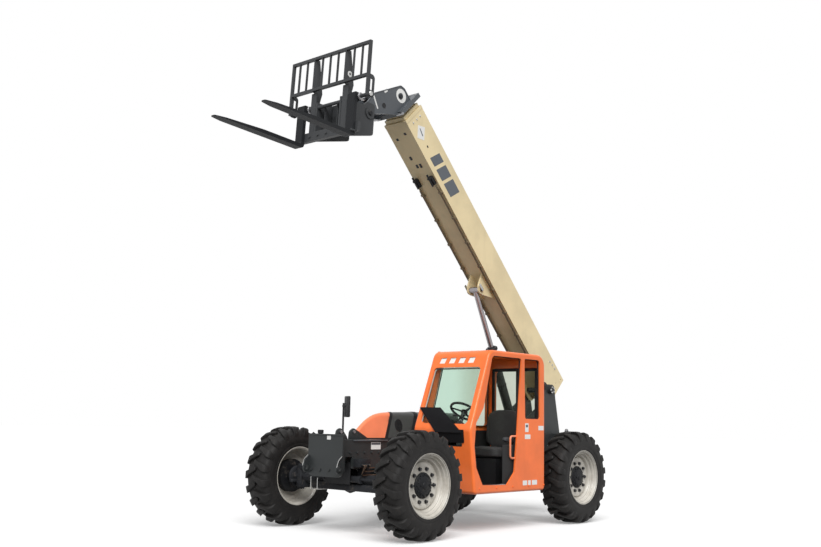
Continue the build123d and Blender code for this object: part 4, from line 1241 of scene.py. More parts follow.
# ---------------------------------------------------------------- cab
@dataclass
class Cab:
    """Open-sided cab: gaskets, trim, seat, controls, handle, shield, vents, lamp and blank decals."""

    inner: float = 0.245
    outer: float = 1.190
    wall: float = 0.045
    rear: float = -0.875
    floor: float = 0.533
    foot: Flat = (0.801, 1.290)                     # lowest point of the leaning windscreen face
    brow: Flat = (0.400, 2.320)
    toe: Flat = (0.701, 0.488)
    column: Point = (0.330, 0.725, 1.520)
    vents: Flat = (2.150, 2.225)
    column_rake: float = -35.0
    wheel_radius: float = 0.190
    door: tuple[Point, ...] = ((0.350, 2.245, 0.070), (0.532, 1.567, 0.060), (0.684, 1.376, 0.060),
                               (0.714, 1.088, 0.120), (0.674, 0.823, 0.060), (0.539, 0.601, 0.020),
                               (0.011, 0.588, 0.020), (-0.156, 0.746, 0.030), (-0.210, 1.201, 0.060),
                               (-0.310, 2.245, 0.050))
    side_light: tuple[Point, ...] = ((-0.395, 1.442, 0.030), (-0.751, 1.442, 0.030), (-0.745, 2.245, 0.060),
                                     (-0.375, 2.245, 0.030))

    def face(self, low: Flat, high: Flat) -> Matrix:
        """Frame on a leaning front face, +X outwards and +Z up it.

        Args:
            low: (x, z) of the face's lower edge.
            high: (x, z) of its upper edge.

        Returns:
            The frame's matrix.
        """
        up = Vector((high[0] - low[0], 0.0, high[1] - low[1])).normalized()
        return MACHINE @ basis(Vector((0, 1, 0)).cross(up), (0, 1, 0), up, (low[0], 0.0, low[1]))

    @property
    def steep(self) -> float:
        """Length up the windscreen's face to a metre of height."""
        return math.dist(self.foot, self.brow) / (self.brow[1] - self.foot[1])

    def build(self) -> None:
        """Makes everything in and on the cab."""
        for node, finish in (("cab_shell", Kit.ORANGE), ("cab_glass", Kit.GLASS), ("dash_console", Kit.DASH),
                             ("seat_base", Kit.DASH)):
            dress(node, finish)
        self.openings()
        self.trim()
        self.seat()
        self.controls()
        self.outside()
        self.decals()

    def openings(self) -> None:
        """Rubber gaskets, lips and panes round the openings."""
        brow, shin = self.face(self.foot, self.brow), self.face(self.toe, self.foot)
        screen = box_rows(self.inner + 0.085, self.outer - 0.080, 0.070 * self.steep, 0.805 * self.steep, 0.050)
        for name, depth, width, low, high, finish in (
                # the windscreen gasket's pale trim is a painted highlight along the screen's edge
                ("windscreen gasket", 0.0, 0.009, -0.040, -0.024, Kit.EDGE_HIGHLIGHT_TRIM),
                ("windscreen inner bead", 0.004, 0.006, -0.046, -0.038, Kit.SEAL)):
            mesh = moved(ring_plate(inset(screen, depth), width, low, high), TO_FRONT)
            piece(name, mesh, finish, brow)
        lower = box_rows(self.inner + 0.300, self.outer - 0.150, 0.591, 0.751, 0.020)
        mesh = moved(ring_plate(lower, 0.010, -0.040, -0.020), TO_FRONT)
        piece("lower front gasket", mesh, Kit.SEAL, shin)
        for name, rows in (("door edge trim", self.door), ("side light gasket", self.side_light)):
            mesh = moved(ring_plate(rounded(rows, 6), 0.007, -self.outer + 0.020, -self.outer + 0.040), TO_SIDE)
            piece(name, mesh, Kit.SEAL)
        inner_light = rounded([(0.520, 1.330, 0.06), (0.250, 2.200, 0.06), (-0.750, 2.200, 0.06),
                               (-0.750, 1.330, 0.06)], 6)
        mesh = moved(ring_plate(inset(inner_light, -0.002), 0.010, -self.inner - self.wall - 0.0063 - 0.012,
                                -self.inner - self.wall - 0.0063), TO_SIDE)
        piece("inner side frame", mesh, Kit.DASH)
        rear = box_rows(self.inner + 0.085, self.outer - 0.085, 1.335, 2.145, 0.050)
        front = self.rear + self.wall + 0.0066
        mesh = moved(ring_plate(rear, 0.042, front, front + 0.016), TO_FRONT)
        piece("rear window frame", mesh, Kit.DASH)
        upright = front_plate(box_rows(0.745, 0.790, 1.36, 2.12, 0.004), front, front + 0.014, 0.002)
        piece("rear window bar", upright, Kit.DASH)
        pane = prism(box_rows(-0.600, 0.240, self.inner + 0.110, self.outer - 0.110, 0.02), 2.2690, 2.2745)
        piece("roof pane", pane, Kit.GLASS)

    def trim(self) -> None:
        """Dark linings, ribbed mat and sill tread with its studs."""
        low = self.floor
        inside = self.inner + self.wall
        lining = side_plate(rounded([(-0.82, low + 0.01, 0.02), (0.60, low + 0.01, 0.02),
                                     (0.68, 1.10, 0.05), (0.70, 1.27, 0.03), (-0.82, 1.27, 0.02)]),
                            inside + 0.001, inside + 0.012, 0.004)
        piece("inner wall lining", lining, Kit.MAT)
        back = front_plate(box_rows(inside + 0.02, self.outer - self.wall - 0.004, low + 0.01, 1.30, 0.02),
                           self.rear + self.wall + 0.001, self.rear + self.wall + 0.014, 0.004)
        piece("rear wall lining", back, Kit.MAT)
        mat = prism(box_rows(-0.80, 0.58, inside + 0.02, self.outer - self.wall - 0.004, 0.03),
                    low + 0.0005, low + 0.012, 0.003)
        piece("floor mat", mat, Kit.MAT)
        rib = moved(bar(0.52, 0.010, 0.003, 0.001), at(0.30, inside + 0.10, low + 0.0132))
        row("floor mat ribs", rib, 30, Kit.MAT, step=(0, 0.024, 0))
        sill = prism(box_rows(0.030, 0.520, self.outer - self.wall + 0.001, self.outer - 0.008, 0.004),
                     0.5895, 0.5975, 0.002)
        piece("door sill tread", sill, Kit.STEEL)
        stud = moved(lathe([(0.0, 0.0030), (0.006, 0.0030), (0.0085, 0.0)], 12),
                     at(0.060, self.outer - 0.030, 0.5975))
        row("door sill studs", stud, 15, Kit.STEEL, step=(0.031, 0, 0))
        side = side_plate(box_rows(-0.80, 0.05, low + 0.012, 1.10, 0.03), self.outer - self.wall - 0.010,
                          self.outer - self.wall - 0.001, 0.003)
        piece("door side lining", side, Kit.MAT)

    def seat(self) -> None:
        """Padded seat with channelled back, bolsters, armrest, bellows, control box and joystick."""
        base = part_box("seat_cushion")
        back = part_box("seat_back")
        centre_y = (base[0][1] + base[1][1]) / 2
        pad = cushion((0.520, 0.480, 0.150), (-0.45, 0.0, 0.45), 0, 5.0)
        level = at((base[0][0] + base[1][0]) / 2, centre_y, (base[0][2] + base[1][2]) / 2 + 0.005)
        piece("seat cushion pad", pad, Kit.SEAT, level @ spin("Y", -4),
                        stands_for="seat_cushion")
        height = back[1][2] - back[0][2]
        lean = 9.0
        rest = cushion((height + 0.05, 0.540, 0.160), (-0.62, -0.36, -0.10, 0.16, 0.42), 0, 3.4, taper=0.18)
        stand = at((back[0][0] + back[1][0]) / 2 + 0.015, centre_y, (back[0][2] + back[1][2]) / 2 + 0.02)
        upright = stand @ spin("Y", -90 - lean)
        piece("seat back pad", rest, Kit.SEAT, upright @ spin("Z", 180), stands_for="seat_back")
        for side, name in SIDES:
            bolster = cushion((0.430, 0.085, 0.120), (), 0, 3.0, 12)
            where = upright @ at(0.02, side * 0.232, 0.020)
            piece(f"{name} seat bolster", bolster, Kit.SEAT, where)
        arm = cushion((0.300, 0.070, 0.062), (), 0, 4.0, 10)
        where = MACHINE @ at(-0.330, centre_y + 0.290, 1.150) @ spin("Y", -6)
        piece("armrest pad", arm, Kit.ARM, where)
        post = side_plate(rounded([(-0.52, 0.98, 0.01), (-0.47, 0.98, 0.01), (-0.43, 1.128, 0.01),
                                   (-0.49, 1.14, 0.01)]), centre_y + 0.262, centre_y + 0.282, 0.003)
        piece("armrest post", post, Kit.DASH)
        shell = side_plate(rounded([(-0.715, 0.955, 0.02), (-0.665, 0.955, 0.02), (-0.735, 1.50, 0.02),
                                    (-0.765, 1.50, 0.02)]), centre_y - 0.19, centre_y + 0.19, 0.006)
        piece("seat back shell", shell, Kit.DASH)
        bellows = lathe([(0.150, 0.0), (0.166, 0.012), (0.150, 0.024), (0.166, 0.036), (0.150, 0.048),
                         (0.150, 0.0)], 40)
        piece("seat bellows", bellows, Kit.SEAL, MACHINE @ at(-0.380, centre_y, 0.862))
        box = side_plate(rounded([(-0.56, 0.545, 0.01), (-0.10, 0.545, 0.01), (0.02, 1.02, 0.03),
                                  (-0.56, 1.06, 0.03)]), 0.330, 0.435, 0.006)
        piece("right control box", box, Kit.DASH)
        stick = lathe([(0.0, 0.0), (0.034, 0.0), (0.024, 0.016), (0.012, 0.026), (0.007, 0.032),
                       (0.007, 0.120), (0.016, 0.128), (0.022, 0.170), (0.019, 0.205), (0.0, 0.212)], 28)
        piece("joystick", stick, Kit.DASH, MACHINE @ at(-0.09, 0.382, 1.024))

    def controls(self) -> None:
        """Steering wheel with its column, gauges, levers and pedals."""
        where = MACHINE @ at(*self.column) @ spin("Y", self.column_rake)
        radius, grip = self.wheel_radius, 0.0165
        hoop = [(radius + grip * math.cos(math.tau * k / 14), grip * math.sin(math.tau * k / 14))
                for k in range(14)]
        spoke = prism(rounded([(0.020, -0.020, 0.004), (radius - 0.006, -0.013, 0.004),
                               (radius - 0.006, 0.013, 0.004), (0.020, 0.020, 0.004)]), -0.012, -0.003,
                      0.003)
        boss = lathe([(0.0, 0.014), (0.030, 0.013), (0.044, 0.004), (0.048, -0.018), (0.030, -0.034),
                      (0.026, -0.10), (0.034, -0.12), (0.034, -0.33), (0.0, -0.33)], 40)
        knob = lathe([(0.0, 0.058), (0.016, 0.052), (0.020, 0.038), (0.012, 0.020), (0.008, 0.010),
                      (0.0, 0.010)], 20)
        wheel = joined([lathe(hoop + hoop[:1], 72, Shade.SMOOTH), boss,
                        moved(Repeat.make(spoke, 3, turn=turned(3), finish=Kit.DASH), spin("Z", 180)),
                        moved(knob, at(-0.11, 0.155, 0.0))])
        piece("steering wheel and column", wheel, Kit.DASH, where, stands_for="steering_wheel")
        pod = side_plate(rounded([(0.420, 1.300, 0.02), (0.600, 1.300, 0.02), (0.560, 1.425, 0.03),
                                  (0.440, 1.365, 0.02)]), 0.585, 0.815, 0.010)
        piece("gauge pod", pod, Kit.DASH)
        dial = lathe([(0.0, 0.004), (0.026, 0.004), (0.030, 0.008), (0.034, 0.004), (0.034, 0.0),
                      (0.0, 0.0)], 32)
        facing = MACHINE @ at(0.494, 0.626, 1.390) @ spin("Y", -27) @ at(0.0, 0.0, 0.0035)
        row("gauge dials", dial, 3, Kit.CHROME, facing, step=(0, 0.074, 0))
        for name, turn in (("direction lever", -90), ("lamp lever", 90)):
            stalk = lathe([(0.0, 0.0), (0.005, 0.0), (0.005, 0.120), (0.010, 0.126), (0.011, 0.160),
                           (0.0, 0.166)], 16)
            piece(name, stalk, Kit.DASH, where @ at(0, 0, -0.07) @ spin("X", turn))
        pedal = joined([moved(bar(0.012, 0.085, 0.125, 0.004), at(0, 0, 0.06) @ spin("Y", 25)),
                        pipe([(0.0, 0, 0.06), (0.10, 0, 0.10)], 0.010)])
        row("pedals", pedal, 2, Kit.STEEL, MACHINE @ at(0.40, 0.900, 0.60), step=(0, -0.34, 0))

    def outside(self) -> None:
        """Grab handle, slanting shield, roof vents, rear lamp, buffer, gutter and mounting bolts."""
        y = self.outer - 0.022
        handle = pipe([(-0.200, y, 0.925), (-0.085, y, 0.925), (-0.085, y, 1.210), (-0.235, y, 1.210)],
                      0.0135, 0.045, 18)
        piece("bent grab handle", handle, Kit.HANDLE, stands_for="grab_handle")
        brow = self.face(self.foot, self.brow)
        shield = front_plate(rounded([(0.265, 0.290, 0.006), (0.620, 0.290, 0.006), (1.070, -0.048, 0.006),
                                      (0.640, -0.048, 0.006)]), 0.0004, 0.0144, 0.003)
        piece("slanting shield", shield, Kit.SHIELD, brow, stands_for="dash_shield")
        bolt = moved(hex_bolt(0.013, 0.007), TO_FRONT @ at(0.310, 0.268, 0.0148))
        row("shield bolts", bolt, 3, Kit.SHIELD, brow, step=(0, 0.13, 0))
        skirt = front_plate(rounded([(0.660, 0.0, 0.004), (1.080, 0.0, 0.004), (1.080, -0.165, 0.02),
                                     (0.670, -0.165, 0.02)]), 0.001, 0.010, 0.002)
        piece("lower front panel", skirt, Kit.SHIELD, self.face(self.toe, self.foot) @ at(0.0, 0.0, 0.806))
        low, high = ((z - self.foot[1]) * self.steep for z in self.vents)
        slot = front_plate([(0.386, low + 0.001), (0.484, low + 0.001), (0.504, high - 0.001),
                            (0.406, high - 0.001)], -0.0140, -0.0100)
        row("roof vent inserts", slot, 4, Kit.WHITE, brow, step=(0, 0.160, 0))
        lamp = lathe([(0.0, 0.024), (0.048, 0.022), (0.056, 0.026), (0.062, 0.022), (0.062, 0.004),
                      (0.050, -0.020), (0.0, -0.030)], 36)
        facing = MACHINE @ at(self.rear - 0.046, 1.120, 1.900) @ spin("Y", -90)
        piece("rear work lamp", lamp, Kit.DASH, facing)
        glass = lathe([(0.0, 0.0285), (0.030, 0.0275), (0.047, 0.0235), (0.0, 0.0225)], 32, Shade.SMOOTH)
        piece("rear lamp lens", glass, Kit.LENS, facing)
        arm = joined([moved(bar(0.036, 0.020, 0.016, 0.003), at(self.rear - 0.014, 1.120, 1.900)),
                      moved(bar(0.008, 0.050, 0.110, 0.003), at(self.rear - 0.004, 1.120, 1.900))])
        piece("rear lamp bracket", arm, Kit.DASH)
        edge = joined([moved(bar(0.024, 0.040, 0.56, 0.006), at(self.rear - 0.0125, 1.130, 1.000)),
                       moved(bar(0.090, 0.050, 0.050, 0.008), at(self.rear - 0.044, 1.130, 1.245)),
                       moved(bar(0.018, 0.030, 0.24, 0.004), at(self.rear - 0.010, 1.145, 1.640))])
        piece("rear edge buffer", edge, Kit.SEAL)
        gutter = side_plate([(self.rear + 0.02, 2.306), (0.36, 2.306), (0.352, 2.322),
                             (self.rear + 0.14, 2.322)], self.inner + 0.03, self.inner + 0.045)
        piece("roof gutter", gutter, Kit.ORANGE)
        bolt = moved(hex_bolt(0.019, 0.010), at(-0.840, self.outer - 0.0005, 0.560) @ AXLE)
        row("cab mounting bolts", bolt, 5, Kit.ORANGE, step=(0.36, 0, 0))

    def decals(self) -> None:
        """Blank decals on the rear panel and sill."""
        skin = self.outer + 0.0004
        plates = ((-0.435, 1.325, 0.080, 0.115), (-0.775, 1.322, 0.125, 0.060),      # x, z, width, height
                  (-0.455, 1.205, 0.130, 0.060), (-0.395, 0.600, 0.100, 0.062),
                  (-0.500, 0.600, 0.060, 0.062), (-0.620, 0.600, 0.120, 0.062))
        sheets = [sheet(box_rows(x - w / 2, x + w / 2, z - h / 2, z + h / 2, 0.005), skin)
                  for x, z, w, h in plates]
        piece("blank cab decals", joined(sheets), Kit.WHITE)
        mark = sheet(box_rows(-0.460, -0.410, 1.330, 1.365, 0.004), skin + 0.0009, 0.0005)
        piece("decal mark", mark, Kit.SLATE)


# ---------------------------------------------------------------- engine side
@dataclass
class EngineSide:
    """Hood with its sloping nose, rubber bands and intake, engine details, tray bolts and mirror."""

    joint: float = 0.574
    rear: float = 0.064
    top: float = 1.512
    slant: float = 0.5
    lean: float = 0.19
    base: float = 1.150
    crest_y: float = -0.370
    stations: tuple[tuple[float, ...], ...] = (        # x; outer side and crest, plain then sloped
        (0.100, -1.095, 1.472, -1.095, 1.468), (0.300, -1.095, 1.472, -1.030, 1.420),
        (0.425, -1.095, 1.472, -0.975, 1.390), (0.560, -0.985, 1.478, -0.870, 1.364),
        (0.760, -0.820, 1.480, -0.720, 1.322), (0.980, -0.640, 1.433, -0.575, 1.272),
        (1.140, -0.510, 1.337, -0.480, 1.236), (1.275, -0.400, 1.233, -0.395, 1.200),
    )

    def build(self) -> None:
        """Makes the hood's and the engine's details."""
        dress("engine_bay", Kit.FRAME)
        dress("engine_block", Kit.ENGINE)
        self.cover("sloping hood nose", "hood_nose", Kit.PALE_NOSE_ORANGE)
        self.main = self.cover("sloping hood", "hood_main", Kit.BONNET)
        self.hood()
        self.engine()
        self.mirror()

    def wall(self) -> Matrix:
        """Frame on the hood's inner wall: +X forward, +Z up the wall, -Y outwards of the hood.

        Returns:
            The frame's matrix.
        """
        up = Vector((0.0, -self.lean, 1.0)).normalized()
        out = Vector((1, 0, 0)).cross(up)
        return MACHINE @ basis((1, 0, 0), -out, up, (0.0, -0.300, 1.150))

    def measures(self, x: float) -> tuple[float, float, float, float]:
        """Reads the table of stations.

        Args:
            x: where along the hood.

        Returns:
            Outer side and crest of the plain hood, then of the sloped one.
        """
        rows = self.stations
        x = min(max(x, rows[0][0]), rows[-1][0])
        for low, high in zip(rows, rows[1:]):
            if x <= high[0]:
                part = (x - low[0]) / (high[0] - low[0])
                return tuple(a + (b - a) * part for a, b in zip(low[1:], high[1:]))
        return rows[-1][1:]

    def sloped(self, spot: Vector) -> Vector:
        """Lets the hood's top fall away towards the outside and the nose.

        Args:
            spot: a point of the plain hood.

        Returns:
            The same point of the sloped hood.
        """
        rise = spot.z - self.base
        if spot.y > self.crest_y or spot.x < self.stations[0][0] or rise <= 0.0:
            return spot
        plain_side, plain_crest, side, crest = self.measures(spot.x)
        across = min((self.crest_y - spot.y) / (self.crest_y - plain_side), 1.0)
        fall = 1.0 - (crest - self.base) / (plain_crest - self.base)
        up = min(rise / (plain_crest - self.base), 1.0)
        return Vector((spot.x, spot.y + across * up * (side - plain_side),
                       self.base + rise * (1.0 - fall * across)))

    def cover(self, name: str, node: str, finish: Finish) -> Object:
        """One part of the hood: the plain part cut finely and sloped.

        Args:
            name: the piece's name.
            node: the CAD node that it stands for.
            finish: its finish.

        Returns:
            The piece.
        """
        work = bmesh.new()
        work.from_mesh(frame["nodes"][node].data)
        bmesh.ops.remove_doubles(work, verts=work.verts, dist=1e-5)
        bmesh.ops.dissolve_limit(work, angle_limit=math.radians(1.0), verts=work.verts, edges=work.edges)
        # planes every few centimetres, so that the slope bends the faces evenly
        cuts = [((0.10 + 0.03 * k, 0, 0), (1, 0, 0)) for k in range(40)]
        cuts += [((0, -0.37 - 0.06 * k, 0), (0, 1, 0)) for k in range(13)]
        cuts += [((0, 0, 1.16 + 0.04 * k), (0, 0, 1)) for k in range(9)]
        for spot, normal in cuts:
            bmesh.ops.bisect_plane(work, geom=[*work.verts, *work.edges, *work.faces],
                                   plane_co=MACHINE @ Vector(spot), plane_no=normal)
        back = MACHINE.inverted()
        for vertex in work.verts:
            vertex.co = MACHINE @ self.sloped(back @ vertex.co)
        bmesh.ops.triangulate(work, faces=work.faces)
        mesh = from_bmesh(work)
        shaded(mesh, Shade.BY_ANGLE, 38.0)
        return piece(name, mesh, finish, None, "hood", stands_for=node)

    def belt(self, name: str, start: float, width: float) -> None:
        """Rubber band that follows the hood round one of its slanting joints.

        Args:
            name: the band's name.
            start: its front edge at the hood's top, along X.
            width: how wide it is.
        """
        normal = Vector((1.0, 0.0, self.slant)).normalized()
        place = MACHINE @ Vector((start, 0.0, self.top))
        work = bmesh.new()
        work.from_mesh(self.main.data)
        for spot, clear in ((place, "clear_outer"), (place - normal * width, "clear_inner")):
            bmesh.ops.bisect_plane(work, geom=[*work.verts, *work.edges, *work.faces], plane_co=spot,
                                   plane_no=normal, **{clear: True})
        core = MACHINE @ Vector((0.0, -0.660, 1.260))
        inner = [face for face in work.faces
                 if (Vector((0.0, *(face.calc_center_median() - core).yz))).dot(face.normal) < 0.0
                 or abs(face.normal.dot(normal)) > 0.9 or face.normal.z < -0.7]
        bmesh.ops.delete(work, geom=inner, context="FACES")
        for vertex in work.verts:
            vertex.normal_update()
        for vertex in work.verts:
            vertex.co += vertex.normal * 0.0005
        bmesh.ops.solidify(work, geom=work.faces[:], thickness=-0.004)
        bmesh.ops.recalc_face_normals(work, faces=work.faces)
        piece(name, from_bmesh(work), Kit.SEAL, None, "hood")

    def hood(self) -> None:
        """Oval intake, rubber bands, latches and louvres."""
        centre, rise, wide, high = 0.449, 0.171, 0.073, 0.086
        oval = [(centre + wide * math.cos(math.tau * k / 36), rise + high * math.sin(math.tau * k / 36))
                for k in range(36)]
        wall = self.wall()
        mesh = moved(ring_plate(oval, 0.010, -0.007, -0.0005), TO_SIDE)
        piece("intake rim", mesh, Kit.SEAL, wall, "hood")
        plate = side_plate(inset(oval, 0.009), 0.0005, 0.0022)
        piece("intake mesh", plate, Kit.VENT, wall, "hood")
        slat = moved(bar(2 * wide - 0.020, 0.006, 0.006, 0.0015), at(centre, 0.005, rise - 0.050))
        row("intake slats", slat, 5, Kit.SEAL, wall, "hood", step=(0, 0, 0.025))
        self.belt("front hood seal", self.joint - 0.001, 0.046)
        self.belt("rear hood seal", self.rear, 0.060)
        latch = moved(joined([bar(0.070, 0.016, 0.034, 0.005),
                              moved(bar(0.030, 0.012, 0.055, 0.004), at(0, -0.008, -0.01))]),
                      at(-0.60, -1.0945, 1.185))
        row("hood latches", latch, 2, Kit.SEAL, body="hood", step=(0.90, 0, 0))
        slat = moved(bar(0.096, 0.005, 0.016, 0.0015), at(-0.650, -1.0675, 1.230) @ spin("X", 35))
        column = Repeat.make(slat, 5, step=(0, 0.0046, 0.024), finish=Kit.VENT)
        row("hood side louvres", column, 4, Kit.VENT, body="hood", step=(0.150, 0, 0))

    def engine(self) -> None:
        """Ribs, rocker cover, pulley, cooler, pipe and silencer round the plain block, and the tray's bolts."""
        rib = moved(bar(0.010, 0.460, 0.030, 0.003), at(-0.560, -0.650, 1.345))
        row("engine cover ribs", rib, 9, Kit.ENGINE, step=(0.115, 0, 0))
        cover = prism(box_rows(-0.540, 0.300, -0.740, -0.560, 0.03), 1.331, 1.400, 0.015)
        piece("rocker cover", cover, Kit.ENGINE)
        pulley = lathe([(0.0, 0.03), (0.030, 0.03), (0.034, 0.022), (0.080, 0.022), (0.090, 0.034),
                        (0.090, 0.026), (0.084, 0.016), (0.090, 0.006), (0.090, 0.0), (0.0, 0.0)], 40)
        facing = MACHINE @ at(0.421, -0.650, 0.90) @ spin("Y", 90)
        piece("crank pulley", pulley, Kit.STEEL, facing)
        cooler = front_plate(box_rows(-0.680, -0.300, 0.600, 1.120, 0.02), 0.700, 0.760, 0.008)
        piece("cooler", cooler, Kit.VENT)
        fin = moved(bar(0.004, 0.350, 0.004, 0.0), at(0.698, -0.490, 0.640))
        row("cooler fins", fin, 28, Kit.ZINC, step=(0, 0, 0.016))
        hose = pipe([(0.40, -0.50, 1.20), (0.55, -0.50, 1.20), (0.66, -0.44, 1.05), (0.705, -0.44, 1.05)],
                    0.026, 0.09, 18)
        piece("cooler pipe", hose, Kit.HOSE)
        silencer = lathe([(0.0, -0.20), (0.060, -0.20), (0.078, -0.185), (0.078, 0.185), (0.060, 0.20),
                          (0.0, 0.20)], 36)
        piece("silencer", silencer, Kit.STEEL, MACHINE @ at(-0.160, -0.880, 1.245) @ spin("Y", 90))
        bolt = moved(hex_bolt(0.022, 0.012), at(-0.800, -1.0605, 1.090) @ spin("X", 90))
        row("tray bolts", bolt, 6, Kit.FRAME, step=(0.210, 0, 0))

    def mirror(self) -> None:
        """Bent mirror post, its housing and its glass."""
        post = pipe([(1.360, -0.246, 1.060), (1.360, -0.500, 1.060), (1.360, -0.500, 1.600)], 0.013, 0.07, 16)
        housing = prism(box_rows(-0.085, 0.085, -0.138, 0.138), -0.028, 0.012, 0.012, 3)
        facing = MACHINE @ at(1.340, -0.440, 1.552) @ spin("Z", -29.5) @ spin("Y", -90) @ spin("Z", 90)
        shape = joined([moved(post, MACHINE), moved(housing, facing),
                        moved(bar(0.040, 0.070, 0.030, 0.005), MACHINE @ at(1.354, -0.478, 1.560)),
                        moved(bar(0.070, 0.012, 0.080, 0.003), MACHINE @ at(1.360, -0.252, 1.060))])
        piece("mirror post and housing", shape, Kit.DASH, None, stands_for="side_mirror")
        glass = prism(box_rows(-0.075, 0.075, -0.127, 0.127, 0.012), 0.012, 0.0145)
        piece("mirror glass", glass, Kit.CHROME, facing)


# ---------------------------------------------------------------- frame and axles
@dataclass
class Chassis:
    """Frame details: front box, rest lugs, filler, rails with their valves and pipes, and the tail."""

    plate: float = 0.245
    top: float = 1.141
    front: float = 2.155

    def build(self) -> None:
        """Makes everything on the frame."""
        for node, finish in (("chassis_frame", Kit.FRAME), ("nose_box", Kit.FRAME),
                             ("counterweight", Kit.FRAME), ("drive_line", Kit.IRON)):
            dress(node, finish)
        self.front_box()
        self.rails()
        self.tail()

    def front_box(self) -> None:
        """Tie-down rings, painted highlights along the lug edges, boom rests, filler cap, blank decal, edge bar
        and bolts of the front box.
        """
        ring = lathe([(0.0245, 0.0), (0.036, 0.0), (0.038, 0.003), (0.036, 0.006), (0.0245, 0.006),
                      (0.0245, 0.0)], 40)
        for side, hand in SIDES:
            where = MACHINE @ mirrored(side)
            piece(f"{hand} towing boss", ring.copy(), Kit.FRAME, where @ at(2.201, 0.3002, 0.798) @ AXLE)
            # painted highlight: a thin bright zinc strip along each lug's slanted upper edge stands in for the
            # light that edge catches
            edge = pipe([(2.158, 0.2995, 0.9435), (2.217, 0.2995, 0.8975), (2.2445, 0.2995, 0.815)],
                        0.0042, 0.03, 8)
            piece(f"{hand} worn lug edge", edge, Kit.ZINC, where)
        post = side_plate(rounded([(1.945, self.top, 0.0), (2.155, self.top + 0.02, 0.01),
                                   (2.135, 1.255, 0.05), (2.075, 1.285, 0.04), (2.010, 1.235, 0.05),
                                   (1.960, 1.180, 0.05)]), 0.150, 0.176, 0.004)
        piece("left boom rest lug", post, Kit.FRAME)
        back = side_plate(rounded([(1.430, self.top, 0.0), (1.800, self.top, 0.0), (1.790, 1.240, 0.05),
                                       (1.725, 1.282, 0.04), (1.650, 1.250, 0.05)]), 0.030, 0.056, 0.004)
        piece("left rear rest lug", back, Kit.FRAME)
        for name, x, low, high in (("boom rest pin", 2.075, 0.120, 0.195),
                                   ("rear rest pin", 1.725, 0.000, 0.075)):
            cross = pipe([(x, low, 1.235), (x, high, 1.235)], 0.019, 0, 20)
            piece(name, cross, Kit.STEEL)
        cap = lathe([(0.0, 0.112), (0.030, 0.112), (0.037, 0.106), (0.037, 0.070), (0.026, 0.064),
                     (0.026, 0.0), (0.0, 0.0)], 24)
        piece("filler cap", cap, Kit.SEAL, MACHINE @ at(2.090, -0.157, self.top))
        plate = front_plate(box_rows(0.027, 0.093, 1.139, 1.191, 0.003), self.front + 0.0004,
                            self.front + 0.0012)
        piece("front plate decals", plate, Kit.WHITE)
        edge = front_plate(box_rows(-0.296, 0.296, 1.186, 1.203, 0.003), self.front + 0.0004,
                           self.front + 0.006, 0.002)
        piece("front plate edge bar", edge, Kit.FRAME)
        bolt = moved(hex_bolt(0.028, 0.015), at(self.front + 0.0002, -0.230, 0.770) @ spin("Y", 90))
        row("front plate bolts", bolt, 4, Kit.FRAME, step=(0, 0.1533, 0))

    def rails(self) -> None:
        """Decals, valves, pipes, flanges painted lighter as a highlight, and bolts of the rails, the axle's
        casing and the pivot's covers.
        """
        skin = self.plate + 0.0004
        decal = sheet(box_rows(1.425, 1.600, 1.022, 1.110, 0.006), skin)
        piece("rail decal", decal, Kit.WHITE)
        stripe = sheet(box_rows(1.430, 1.595, 1.078, 1.104, 0.003), skin + 0.0009, 0.0005)
        piece("rail decal stripe", stripe, Kit.SLATE)
        block = joined([moved(bar(0.180, 0.110, 0.100, 0.006), at(1.815, 0.302, 0.862)),
                        moved(bar(0.060, 0.060, 0.060, 0.006), at(1.690, 0.278, 0.875))])
        piece("steering valve block", block, Kit.IRON)
        casing = bar(0.200, 1.180, 0.090, 0.020)
        piece("front axle lower casing", casing, Kit.IRON, MACHINE @ at(1.715, 0.0, 0.557))
        # painted shade: a black panel fills the gap under the front of the rails, standing in for the shade
        # there
        painted_shade_panel = bar(0.014, 0.440, 0.270, 0.003)
        piece("front bulkhead", painted_shade_panel, Kit.SEAL, MACHINE @ at(1.915, -0.015, 0.735))
        loops = [pipe([(1.823, y, 0.655), (1.823, y, 0.502), (1.607, y, 0.502), (1.607, y, 0.655)],
                      0.0065, 0.014, 10) for y in (-0.585, -0.465)]
        piece("axle clamp bolts", joined(loops), Kit.ZINC)
        fitting = moved(lathe([(0.0, 0.028), (0.010, 0.028), (0.013, 0.024), (0.013, 0.0), (0.0, 0.0)], 6,
                              Shade.FLAT), at(1.755, 0.355, 0.840) @ spin("X", -90))
        row("valve fittings", fitting, 4, Kit.IRON, step=(0.040, 0, 0))
        copper = ((1.755, -0.030), (1.835, 0.010), (1.875, 0.055))
        tubes = [pipe([(x, 0.380, 0.840), (x, 0.395 + drop * 0.3, 0.832), (x - 0.03, 0.330, 0.770 - drop),
                       (1.420, 0.300, 0.770 - drop), (1.360, 0.262, 0.800 - drop),
                       (1.10, 0.258, 0.800 - drop)], 0.0065, 0.03, 10) for x, drop in copper]
        piece("valve pipes", joined(tubes), Kit.PIPE)
        clamp = moved(bar(0.030, 0.026, 0.090, 0.004), at(1.160, 0.2575, 0.768))
        piece("pipe clamp", clamp, Kit.SEAL)
        for side, hand in SIDES:
